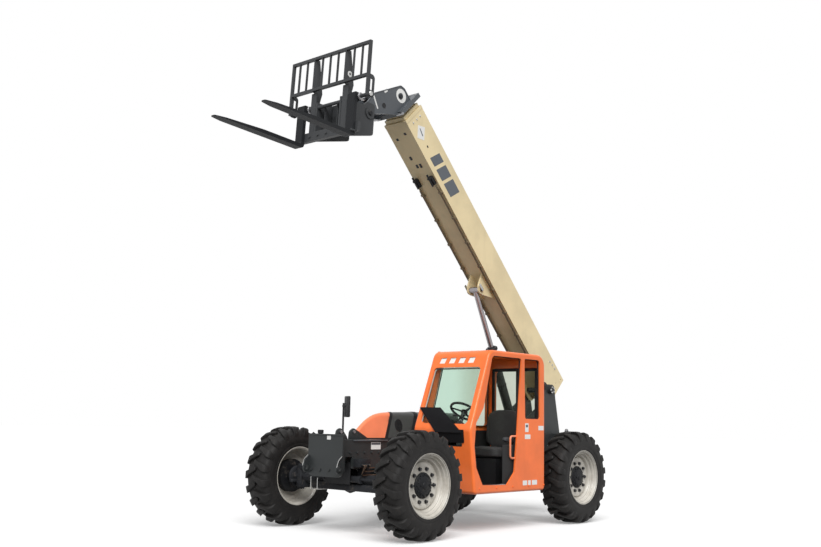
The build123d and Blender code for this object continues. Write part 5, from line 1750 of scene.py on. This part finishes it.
            # painted highlight: the flanges take the lighter head grey so the rail's top edge shows a pale
            # line; the dark line under it is the flange's own shadow
            flange = side_plate(box_rows(1.310, 1.920, 1.124, 1.138, 0.002), self.plate + 0.0003,
                                self.plate + 0.0200, 0.002)
            piece(f"{hand} rail flange", flange, Kit.HEAD, MACHINE @ mirrored(side))
        bolt = moved(hex_bolt(0.026, 0.014), at(1.330, self.plate - 0.0005, 0.985) @ AXLE)
        row("rail bolts", bolt, 6, Kit.FRAME, step=(0.128, 0, 0))
        for side, hand in SIDES:
            cover = lathe([(0.0, 0.030), (0.052, 0.030), (0.060, 0.022), (0.060, 0.0), (0.0, 0.0)], 40)
            where = at(*pin("boom_lift")) @ mirrored(side) @ at(0, self.plate + 0.018, 0) @ AXLE
            piece(f"pivot pin cover {hand}", cover, Kit.IRON, where)
            keep = moved(hex_bolt(0.022, 0.012), at(0.042, 0.0, 0.0295))
            row(f"pivot cover bolts {hand}", keep, 5, Kit.ZINC, where, turn=turned(5))

    def tail(self) -> None:
        """Rear lamps, lifting eyes and tow hitch of the counterweight."""
        low, high = (Vector(c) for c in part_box("counterweight"))
        for side, hand in SIDES:
            case = bar(0.030, 0.150, 0.090, 0.008)
            piece(f"{hand} rear lamp", case, Kit.SEAL, at(low.x - 0.0155, side * 0.400, high.z - 0.110))
            for k, finish in enumerate((Kit.RED, Kit.SAFETY)):
                lens = bar(0.010, 0.062, 0.070, 0.006)
                piece(f"{hand} rear lens {k + 1}", lens, finish,
                      at(low.x - 0.0355, side * (0.365 + 0.070 * k), high.z - 0.110))
            eye = lathe([(0.020, -0.010), (0.042, -0.010), (0.042, 0.010), (0.020, 0.010), (0.020, -0.010)], 32)
            piece(f"{hand} lifting eye", eye, Kit.STEEL,
                  at(low.x + 0.19, side * 0.420, high.z + 0.036) @ spin("X", 90))
        jaw = joined([moved(bar(0.110, 0.160, 0.025, 0.005), at(0, 0, 0.045)),
                      moved(bar(0.110, 0.160, 0.025, 0.005), at(0, 0, -0.045)),
                      moved(bar(0.020, 0.160, 0.115, 0.004), at(0.048, 0, 0)),
                      pipe([(-0.015, 0, -0.085), (-0.015, 0, 0.100)], 0.015, 0, 20),
                      moved(bar(0.050, 0.050, 0.010, 0.003), at(-0.015, 0, 0.100))])
        piece("tow hitch", jaw, Kit.STEEL, at(low.x - 0.058, 0.0, low.z + 0.150))


@dataclass
class Axles:
    """Steering cylinders, drive flanges, differential covers, kingpin caps and steering arms of both axles."""

    kingpin_y: float = 0.900

    def build(self) -> None:
        """Dresses both axles."""
        for end in ("front", "rear"):
            dress(f"{end}_axle", Kit.IRON)
            for hand in ("left", "right"):
                dress(f"{end}_{hand}_knuckle", Kit.IRON)
            self.one(end)

    def one(self, end: str) -> None:
        """Makes one axle's details.

        Args:
            end: front or rear.
        """
        x = pin(f"{end}_left_spin").x
        z = pin(f"{end}_left_spin").z
        ahead = 1 if end == "front" else -1
        cylinder = [pipe([(0.0, -0.300, 0.0), (0.0, 0.300, 0.0)], 0.042, 0, 28),
                    pipe([(0.0, -0.318, 0.0), (0.0, -0.290, 0.0)], 0.050, 0, 28),
                    pipe([(0.0, 0.290, 0.0), (0.0, 0.318, 0.0)], 0.050, 0, 28),
                    moved(bar(0.090, 0.080, 0.060, 0.006), at(-ahead * 0.055, -0.200, 0.0)),
                    moved(bar(0.090, 0.080, 0.060, 0.006), at(-ahead * 0.055, 0.200, 0.0))]
        where = at(x + ahead * 0.125, 0.0, z + 0.020)
        piece(f"{end} steering cylinder", joined(cylinder), Kit.IRON, where)
        rod = pipe([(0.0, -0.520, 0.0), (0.0, 0.520, 0.0)], 0.017, 0, 20)
        piece(f"{end} steering rod", rod, Kit.IRON, where)
        lie = spin("Z", 180 if ahead > 0 else 0)
        ribs = [moved(prism(rounded([(0.0, 0.060, 0.0), (0.0, 0.150, 0.02), (0.17, 0.085, 0.03),
                                     (0.17, 0.060, 0.0)]), -0.008, 0.008, 0.002), spin("X", 90 * k) @ lie)
                for k in range(4)]
        nose = lathe([(0.0, 0.262), (0.040, 0.262), (0.046, 0.240), (0.070, 0.236), (0.074, 0.205),
                      (0.094, 0.190), (0.094, 0.120), (0.0, 0.120)], 36)
        piece(f"{end} drive flange", joined([moved(nose, spin("Y", -90 * ahead)), *ribs]), Kit.IRON,
              at(x, 0.0, z))
        bolt = moved(hex_bolt(0.017, 0.010), at(ahead * 0.056, 0.0, 0.108) @ spin("Y", 90 * ahead))
        row(f"{end} differential bolts", bolt, 12, Kit.IRON, at(x, 0.0, z), turn=(math.tau / 12, 0, 0))
        cover = lathe([(0.0, 0.078), (0.040, 0.076), (0.104, 0.060), (0.118, 0.052), (0.118, 0.0),
                       (0.0, 0.0)], 40)
        piece(f"{end} differential cover", cover, Kit.IRON, at(x, 0.0, z) @ spin("Y", 90 * ahead))
        for side, hand in SIDES:
            for flip in (1, -1):
                cap = lathe([(0.0, 0.020), (0.044, 0.018), (0.050, 0.012), (0.050, 0.0), (0.0, 0.0)], 32)
                head = moved(hex_bolt(0.016, 0.009), at(0.036, 0.0, 0.018))
                shape = joined([cap, Repeat.make(head, 6, turn=turned(6), finish=Kit.ZINC)])
                place = at(x, side * self.kingpin_y, z) @ Matrix.Scale(flip, 4, (0, 0, 1)) @ at(0, 0, 0.1360)
                piece(f"{end} {hand} kingpin cap {'upper' if flip > 0 else 'lower'}", shape, Kit.IRON, place)
            body = f"{end}_{hand}_knuckle_body"
            arm = prism(rounded([(0.0, -0.050, 0.0), (0.0, 0.050, 0.0), (0.150, 0.030, 0.030),
                                 (0.150, -0.030, 0.030)]), -0.018, 0.018, 0.005)
            stand = at(x, side * (self.kingpin_y + 0.052), z - 0.055) @ spin("Z", 0 if ahead > 0 else 180)
            piece(f"{end} {hand} steering arm", arm, Kit.IRON, stand, body)
            drum = lathe([(0.070, 0.075), (0.118, 0.078), (0.130, 0.086), (0.130, 0.100), (0.070, 0.100),
                          (0.070, 0.075)], 48)
            hub = at(x, side * self.kingpin_y, z) @ mirrored(side) @ AXLE
            piece(f"{end} {hand} hub flange", drum, Kit.IRON, hub, body)


# ---------------------------------------------------------------- boom and cylinders
@dataclass
class Boom:
    """Boom dressing: pipes with their clamps, pin heads, nose collars, blank decals and bolts."""

    half: float = 0.1955
    low: float = 0.017
    high: float = 0.453
    nose: float = 4.939

    def build(self) -> None:
        """Makes everything on the boom's sections."""
        for node in ("boom_outer", "boom_mid", "boom_fly"):
            dress(node, Kit.TAN)
        self.pipes()
        self.nose_pads()
        self.decals()
        self.fasteners()

    def pipes(self) -> None:
        """Rigid pipes under the boom in their clamps, end blocks, slots and the lift pin's heads."""
        under = self.low
        runs = []
        for k, y in enumerate((0.150, 0.170, -0.150, -0.170)):
            z = under - 0.022
            runs.append(pipe([(0.55, y, z), (3.90 - 0.04 * (k % 2), y, z)], 0.0095, 0, 12))
        piece("boom pipes", joined(runs), Kit.TUBE, BOOM, "boom_base")
        for side, hand in SIDES:
            clamp = moved(bar(0.036, 0.062, 0.034, 0.005), at(0.70, side * 0.160, under - 0.0172))
            row(f"pipe clamps {hand}", clamp, 8, Kit.TUBE, BOOM, "boom_base", step=(0.44, 0, 0))
            block = joined([moved(bar(0.120, 0.070, 0.050, 0.006), at(3.985, side * 0.135, under - 0.026)),
                            moved(bar(0.030, 0.050, 0.080, 0.005), at(4.045, side * 0.135, under - 0.041)),
                            pipe([(3.92, side * 0.135, under - 0.066), (4.11, side * 0.135, under - 0.066)],
                                 0.015, 0, 16)])
            piece(f"pipe end block {hand}", block, Kit.SEAL, BOOM, "boom_base")
        places = ((4.240, -0.010, 0.030), (4.240, 0.055, 0.034), (4.380, -0.045, 0.030),    # x, y, half length
                  (4.700, -0.100, 0.020), (4.760, 0.075, 0.020))
        slots = [prism(box_rows(u - long, u + long, y - 0.021, y + 0.021, 0.010), under - 0.0012,
                       under - 0.0002) for u, y, long in places]
        piece("underside slots", joined(slots), Kit.VENT, BOOM, "boom_base")
        cover = lathe([(0.0, 0.016), (0.030, 0.016), (0.036, 0.010), (0.036, 0.0), (0.0, 0.0)], 32)
        for side, hand in SIDES:
            where = BOOM @ at(2.158, 0, -0.156) @ mirrored(side) @ at(0, 0.119, 0) @ AXLE
            piece(f"lift pin head {hand}", cover.copy(), Kit.IRON, where, "boom_base")
            plate = prism(rounded([(-0.02, -0.02, 0.006), (0.095, -0.02, 0.006), (0.095, 0.02, 0.006),
                                   (-0.02, 0.02, 0.006)]), 0.0, 0.008, 0.002)
            keep = joined([plate, moved(hex_bolt(0.018, 0.010), at(0.075, 0, 0.008))])
            piece(f"lift pin keeper {hand}", keep, Kit.ZINC, where @ at(0, 0, 0.014), "boom_base")

    def nose_pads(self) -> None:
        """Nose collars of two sections and the wear pads' screws."""
        for name, body, nose, inwards in (("outer", "boom_base", self.nose, 0.0),
                                          ("middle", "boom_middle", self.nose + 0.055, 0.024)):
            half, low, high = self.half - inwards, self.low + inwards, self.high - inwards
            outline = box_rows(-half - 0.004, half + 0.004, low - 0.004, high + 0.004, 0.006)
            mesh = moved(ring_plate(outline, 0.0155, nose - 0.040, nose + 0.003), TO_FRONT)
            piece(f"{name} section collar", mesh, Kit.TAN, BOOM, body)
        for side, hand in SIDES:
            first = mirrored(side) @ at(self.nose - 0.100, self.half - 0.0005, 0.140) @ AXLE
            head = moved(hex_bolt(0.020, 0.010), first)
            row(f"pad screws {hand}", head, 3, Kit.ZINC, BOOM, "boom_base", step=(0, 0, 0.095))

    def decals(self) -> None:
        """Blank decals of the outer section: a white plate with a slash and three plain bars, and a slot."""
        for side, hand in SIDES:
            skin = self.half + 0.0005
            where = BOOM @ mirrored(side)
            plate = sheet(rounded([(4.535, 0.170, 0.008), (4.640, 0.070, 0.008), (4.765, 0.205, 0.008),
                                        (4.665, 0.310, 0.008)]), skin)
            piece(f"{hand} boom white decal", plate, Kit.WHITE, where, "boom_base")
            outline = [(4.590, 0.192), (4.604, 0.176), (4.712, 0.200), (4.704, 0.216)]
            slash = sheet(outline, skin + 0.001, 0.0006)
            piece(f"{hand} boom decal slash", slash, Kit.SLATE, where, "boom_base")
            low, high = 0.105, 0.330
            sheets = [sheet(rounded([(a + 0.03, low, 0.006), (b + 0.03, low, 0.006), (b - 0.03, high, 0.006),
                                     (a - 0.03, high, 0.006)]), skin)
                      for a, b in ((4.110, 4.255), (3.865, 4.055), (3.590, 3.815))]
            piece(f"{hand} boom plain bars", joined(sheets), Kit.SLATE, where, "boom_base")
            slot = side_plate(rounded([(4.412, 0.160, 0.008), (4.450, 0.160, 0.008), (4.450, 0.185, 0.008),
                                       (4.412, 0.185, 0.008)]), skin - 0.0004, skin + 0.0006)
            piece(f"{hand} boom side slot", slot, Kit.VENT, where, "boom_base")

    def fasteners(self) -> None:
        """Collars of the pivot and bolts of the tail plates."""
        for side, hand in SIDES:
            where = BOOM @ mirrored(side)
            collar = lathe([(0.042, 0.0), (0.078, 0.0), (0.082, 0.006), (0.082, 0.018), (0.042, 0.018),
                            (0.042, 0.0)], 40)
            piece(f"{hand} pivot collar", collar, Kit.TAN, where @ at(0, self.half + 0.0005, 0) @ AXLE,
                  "boom_base")
            bolt = moved(hex_bolt(0.024, 0.012), at(0.10, self.half - 0.0005, 0.390) @ AXLE)
            row(f"{hand} tail bolts", bolt, 3, Kit.ZINC, where, "boom_base", step=(0.085, 0, -0.012))


@dataclass
class Cylinders:
    """Wipers, gland nuts, pipes and bands of the lift and tilt cylinders."""

    def build(self) -> None:
        """Dresses both cylinders."""
        for node, finish in (("lift_barrel", Kit.FRAME), ("lift_rod", Kit.ROD), ("tilt_barrel", Kit.HEAD),
                             ("tilt_rod", Kit.CHROME)):
            dress(node, finish)
        self.one("lift", LIFT, "lift_cylinder", 0.068, 0.038, 1.780, 16)
        self.one("tilt", TILT, "tilt_cylinder", 0.048, 0.026, 0.520, 10)

    def one(self, name: str, where: Matrix, body: str, radius: float, rod: float, length: float,
            notches: int) -> None:
        """Makes one cylinder's details, drawn from its base pin.

        Args:
            name: lift or tilt.
            where: frame at its base pin, with +X along it.
            body: the CAD body it rides on.
            radius: half the barrel's thickness.
            rod: half the rod's thickness.
            length: from the base pin to the gland's end.
            notches: how many notches the gland has.
        """
        stand = where @ spin("Y", 90)
        wiper = lathe([(rod + 0.0008, 0.0), (rod + 0.020, 0.0), (rod + 0.016, 0.014), (rod + 0.0008, 0.018),
                       (rod + 0.0008, 0.0)], 48)
        piece(f"{name} rod wiper", wiper, Kit.SEAL, stand @ at(0, 0, length + 0.0003), body)
        collar = lathe([(radius + 0.0103, 0.0), (radius + 0.016, 0.002), (radius + 0.016, 0.040),
                        (radius + 0.0103, 0.042), (radius + 0.0103, 0.0)], 48)
        piece(f"{name} gland nut", collar, Kit.IRON, stand @ at(0, 0, length - 0.046), body)
        notch = moved(bar(0.008, 0.012, 0.036, 0.002), at(radius + 0.018, 0, 0.021))
        row(f"{name} gland notches", notch, notches, Kit.IRON, stand @ at(0, 0, length - 0.046), body,
            turn=turned(notches))
        rise = radius + 0.020
        tube = pipe([(0.160, 0.0, radius - 0.002), (0.160, 0.0, rise), (0.190, 0.0, rise),
                     (length - 0.120, 0.0, rise), (length - 0.095, 0.0, rise),
                     (length - 0.095, 0.0, radius - 0.002)], 0.0085, 0.016, 12)
        piece(f"{name} port pipe", tube, Kit.PIPE, where, body)
        band = lathe([(radius + 0.0002, 0.0), (radius + 0.004, 0.0), (radius + 0.004, 0.022),
                      (radius + 0.0002, 0.022), (radius + 0.0002, 0.0)], 48)
        count = max(2, int(length / 0.45))
        row(f"{name} pipe bands", band, count, Kit.SEAL, stand @ at(0, 0, 0.240), body,
            step=(0, 0, (length - 0.40) / count))


@dataclass
class Head:
    """Boom head: edge plates, blank decals, holes, pin heads, bolts and the stub pins of its collar."""

    out: float = 0.171
    start: float = 5.049

    def build(self) -> None:
        """Dresses the head."""
        dress("boom_head", Kit.HEAD)
        outline = rounded([(self.start + 0.005, 0.335, 0.0), (5.272, 0.339, 0.060), (5.349, 0.300, 0.060),
                           (5.540, -0.230, 0.060), (5.505, -0.643, 0.090), (5.320, -0.643, 0.080),
                           (5.335, -0.440, 0.100), (5.251, -0.298, 0.060),
                           (self.start + 0.005, -0.010, 0.0)], 6)
        for side, hand in SIDES:
            where = BOOM @ mirrored(side)
            skin = self.out + 0.0004
            rim = moved(ring_plate(outline, 0.012, -self.out - 0.005, -self.out - 0.0003), TO_SIDE)
            piece(f"{hand} head edge", rim, Kit.HEAD, where, "boom_tip")
            disc = lathe([(0.042, 0.0), (0.098, 0.0), (0.098, 0.0008), (0.042, 0.0008), (0.042, 0.0)], 48)
            piece(f"{hand} head ring decal", disc, Kit.WHITE, where @ at(5.236, skin, 0.205) @ AXLE, "boom_tip")
            spot = lathe([(0.0, 0.0), (0.018, 0.0), (0.018, 0.006), (0.0, 0.006)], 32)
            piece(f"{hand} head ring pin", spot, Kit.IRON, where @ at(5.236, skin, 0.205) @ AXLE,
                  "boom_tip")
            hole = lathe([(0.0, 0.0), (0.030, 0.0), (0.034, 0.004), (0.034, 0.0005), (0.0, 0.0005)], 32)
            piece(f"{hand} head hole", hole, Kit.VENT, where @ at(5.315, skin, -0.191) @ AXLE, "boom_tip")
            stripe = sheet([(5.350, -0.340), (5.520, -0.288), (5.517, -0.262), (5.345, -0.318)], skin)
            piece(f"{hand} head stripe", stripe, Kit.WHITE, where, "boom_tip")
            mark = sheet(rounded([(5.432, -0.06, 0.01), (5.470, -0.05, 0.01), (5.462, 0.02, 0.01),
                                  (5.420, 0.01, 0.01)]), skin)
            piece(f"{hand} head small decal", mark, Kit.WHITE, where, "boom_tip")
            cover = lathe([(0.0, 0.020), (0.050, 0.020), (0.058, 0.012), (0.058, 0.0), (0.0, 0.0)], 40)
            piece(f"{hand} tilt pin cover", cover, Kit.IRON,
                  where @ at(5.410, self.out + 0.0085, -0.569) @ AXLE, "boom_tip")
            head = lathe([(0.0, 0.014), (0.026, 0.014), (0.030, 0.008), (0.030, 0.0), (0.0, 0.0)], 32)
            piece(f"{hand} cylinder pin head", head, Kit.IRON,
                  where @ at(5.240, self.out + 0.0045, 0.185) @ AXLE, "boom_tip")
            x = self.start + 0.030
            stub = pipe([(x, 0.150, -0.030), (x, 0.262, -0.030)], 0.017, 0, 20)
            piece(f"{hand} collar stub", stub, Kit.STEEL, where, "boom_tip")
        bolt = moved(hex_bolt(0.024, 0.013), at(self.start + 0.0595, -0.190, 0.452) @ spin("Y", 90))
        row("collar bolts", bolt, 5, Kit.ZINC, BOOM, "boom_tip", step=(0, 0.095, 0))
        tie = pipe([(5.20, -0.155, -0.10), (5.20, 0.155, -0.10)], 0.026, 0, 24)
        piece("head tie tube", tie, Kit.HEAD, BOOM, "boom_tip")
        reel = lathe([(0.0, 0.075), (0.060, 0.075), (0.066, 0.050), (0.050, 0.046), (0.050, -0.046),
                      (0.066, -0.050), (0.060, -0.075), (0.0, -0.075)], 40)
        piece("head pipe roller", reel, Kit.SEAL, BOOM @ at(5.17, 0.0, 0.06) @ AXLE, "boom_tip")


@dataclass
class Carriage:
    """Fork carriage: shaft collars and caps, ring decals, heel plates, pivot rings, webs and bolts."""

    half: float = 0.715
    shaft_x: float = 0.497
    fork_y: float = 0.457
    rib_face: float = 0.2935

    def build(self) -> None:
        """Dresses the carriage and its forks."""
        for node, finish in (("carriage", Kit.FORKS), ("backrest", Kit.FORKS), ("left_fork", Kit.TINES),
                             ("right_fork", Kit.TINES)):
            dress(node, finish)
        collar = lathe([(0.0245, -0.014), (0.042, -0.014), (0.045, -0.010), (0.045, 0.010), (0.042, 0.014),
                        (0.0245, 0.014), (0.0245, -0.014)], 36)
        collars = [moved(collar.copy(), at(self.shaft_x, y, 0.0) @ AXLE)
                   for y in (-0.370, 0.370, -0.545, 0.545)]
        piece("fork collars", joined(collars), Kit.STEEL, CARRIAGE, "fork_carriage")
        cap = lathe([(0.0, 0.012), (0.022, 0.012), (0.030, 0.006), (0.030, -0.004), (0.0, -0.004)], 32)
        for side, hand in SIDES:
            where = CARRIAGE @ mirrored(side)
            piece(f"{hand} shaft cap", cap.copy(), Kit.ZINC,
                  where @ at(self.shaft_x, self.half + 0.0045, 0.0) @ AXLE, "fork_carriage")
            ring = lathe([(0.016, 0.0), (0.040, 0.0), (0.040, 0.0008), (0.016, 0.0008), (0.016, 0.0)], 36)
            piece(f"{hand} rib ring decal", ring, Kit.WHITE, where @ at(0.465, self.rib_face, 0.360) @ AXLE,
                  "fork_carriage")
            toe = joined([moved(bar(0.100, 0.012, 0.028, 0.003), at(0.560, self.fork_y + 0.0695, -0.460)),
                          moved(hex_bolt(0.022, 0.012), at(0.560, self.fork_y + 0.0755, -0.460) @ AXLE)])
            piece(f"{hand} fork heel plate", toe, Kit.FORKS, where, "fork_carriage")
            boss = lathe([(0.036, 0.0), (0.074, 0.0), (0.078, 0.005), (0.078, 0.012), (0.036, 0.012),
                          (0.036, 0.0)], 40)
            piece(f"{hand} pivot boss ring", boss, Kit.FORKS, where @ at(0, 0.2305, 0) @ AXLE, "fork_carriage")
            cover = lathe([(0.0, 0.018), (0.028, 0.018), (0.034, 0.010), (0.034, 0.0), (0.0, 0.0)], 36)
            piece(f"{hand} pivot end cap", cover, Kit.IRON, where @ at(0, 0.2425, 0) @ AXLE,
                  "fork_carriage")
            stiff = side_plate(rounded([(0.335, -0.350, 0.0), (0.465, -0.350, 0.0), (0.465, 0.040, 0.02),
                                        (0.335, 0.050, 0.02)]), 0.110, 0.122, 0.003)
            piece(f"{hand} carriage web", stiff, Kit.FORKS, where, "fork_carriage")
        bolt = moved(hex_bolt(0.026, 0.014), at(0.5248, -0.30, -0.390) @ spin("Y", 90))
        row("low bar bolts", bolt, 5, Kit.FORKS, CARRIAGE, "fork_carriage", step=(0, 0.15, 0))


# ---------------------------------------------------------------- studio
@dataclass
class Studio:
    """Camera, soft light and a pale floor that holds the shadow."""

    eye: Point = (10.6562, 8.7859, 1.3983)
    yaw: float = 3.8618
    pitch: float = 0.1478
    roll: float = 0.0210
    lens: float = 43.056
    sensor: float = 36.0
    sight: float = 400.0
    ambient: float = 0.36
    sun: float = 3.7
    sun_from: Point = (0.56, 0.54, 0.76)
    softness: float = 44.0
    pale: float = 0.95
    glow: float = 0.25
    bounce: float = 0.20
    floor_radius: float = 90.0
    floor_level: float = -0.0016

    def build(self) -> None:
        """Makes camera, world, sun and floor."""
        ahead = Vector((math.cos(self.yaw) * math.cos(self.pitch), math.sin(self.yaw) * math.cos(self.pitch),
                        math.sin(self.pitch)))
        right = Vector((math.sin(self.yaw), -math.cos(self.yaw), 0.0))
        up = right.cross(ahead)
        c, s = math.cos(self.roll), math.sin(self.roll)
        data = bpy.data.cameras.new("camera")
        data.lens = self.lens
        data.sensor_width = self.sensor
        data.sensor_fit = "HORIZONTAL"
        data.clip_end = self.sight
        camera = bpy.data.objects.new("camera", data)
        camera.matrix_world = MACHINE @ basis(c * right + s * up, c * up - s * right, -ahead, self.eye)
        bpy.context.scene.collection.objects.link(camera)
        bpy.context.scene.camera = camera
        self.light()
        self.floor()
        bpy.context.scene.view_settings.view_transform = "Standard"

    def light(self) -> None:
        """Even sky that looks white to the camera, and one broad soft sun from the camera's left."""
        world = bpy.data.worlds.new("studio")
        bpy.context.scene.world = world
        world.use_nodes = True
        tree = world.node_tree
        tree.nodes.clear()
        strength = tree.nodes.new("ShaderNodeMapRange")
        strength.inputs["To Min"].default_value = self.ambient
        strength.inputs["To Max"].default_value = 1.0
        tree.links.new(self.seen(tree), strength.inputs["Value"])
        sky = tree.nodes.new("ShaderNodeBackground")
        sky.inputs["Color"].default_value = (1.0, 1.0, 1.0, 1.0)
        tree.links.new(strength.outputs[0], sky.inputs["Strength"])
        out = tree.nodes.new("ShaderNodeOutputWorld")
        tree.links.new(sky.outputs[0], out.inputs[0])
        lamp = bpy.data.lights.new("sun", "SUN")
        lamp.energy = self.sun
        lamp.angle = math.radians(self.softness)
        sun = bpy.data.objects.new("sun", lamp)
        sun.rotation_euler = Vector(self.sun_from).to_track_quat("Z", "Y").to_euler()
        bpy.context.scene.collection.objects.link(sun)

    @staticmethod
    def seen(tree: Tree) -> Socket:
        """Tells the rays that show the background: the camera's, and those mirrored or let through.

        Args:
            tree: the node tree to add to.

        Returns:
            A socket that is one for such rays and nothing for the rest.
        """
        path = tree.nodes.new("ShaderNodeLightPath")
        result = path.outputs["Is Camera Ray"]
        for name in ("Is Glossy Ray", "Is Transmission Ray"):
            either = tree.nodes.new("ShaderNodeMath")
            either.operation = "MAXIMUM"
            tree.links.new(result, either.inputs[0])
            tree.links.new(path.outputs[name], either.inputs[1])
            result = either.outputs[0]
        return result

    def floor(self) -> None:
        """Pale disc under the tyres that throws little light back up."""
        work = bmesh.new()
        bmesh.ops.create_circle(work, cap_ends=True, segments=96, radius=self.floor_radius)
        mesh = bpy.data.meshes.new("floor")
        work.to_mesh(mesh)
        work.free()
        mesh.transform(at(0, 0, self.floor_level))
        made = bpy.data.materials.new("studio floor")
        made.use_nodes = True
        tree = made.node_tree
        tree.nodes.clear()
        blend = tree.nodes.new("ShaderNodeMixShader")
        tree.links.new(self.seen(tree), blend.inputs[0])
        surfaces = []
        for kind, grey in (("ShaderNodeBsdfDiffuse", self.bounce), ("ShaderNodeBsdfDiffuse", self.pale),
                           ("ShaderNodeEmission", 1.0)):
            surface = tree.nodes.new(kind)
            surface.inputs["Color"].default_value = (grey, grey, grey, 1.0)
            surfaces.append(surface.outputs[0])
        shown = tree.nodes.new("ShaderNodeMixShader")
        shown.inputs[0].default_value = self.glow
        tree.links.new(surfaces[1], shown.inputs[1])
        tree.links.new(surfaces[2], shown.inputs[2])
        tree.links.new(surfaces[0], blend.inputs[1])
        tree.links.new(shown.outputs[0], blend.inputs[2])
        out = tree.nodes.new("ShaderNodeOutputMaterial")
        tree.links.new(blend.outputs[0], out.inputs[0])
        mesh.materials.append(made)
        new_object("studio floor", mesh)


def main() -> None:
    """Builds the machine and its studio."""
    logging.basicConfig(level=logging.INFO, format="%(message)s")
    for part in (Wheels(), Cab(), EngineSide(), Chassis(), Axles(), Boom(), Cylinders(), Head(), Carriage(),
                 Studio()):
        LOG.info("building %s", type(part).__name__)
        part.build()


if __name__ == "__main__":
    main()
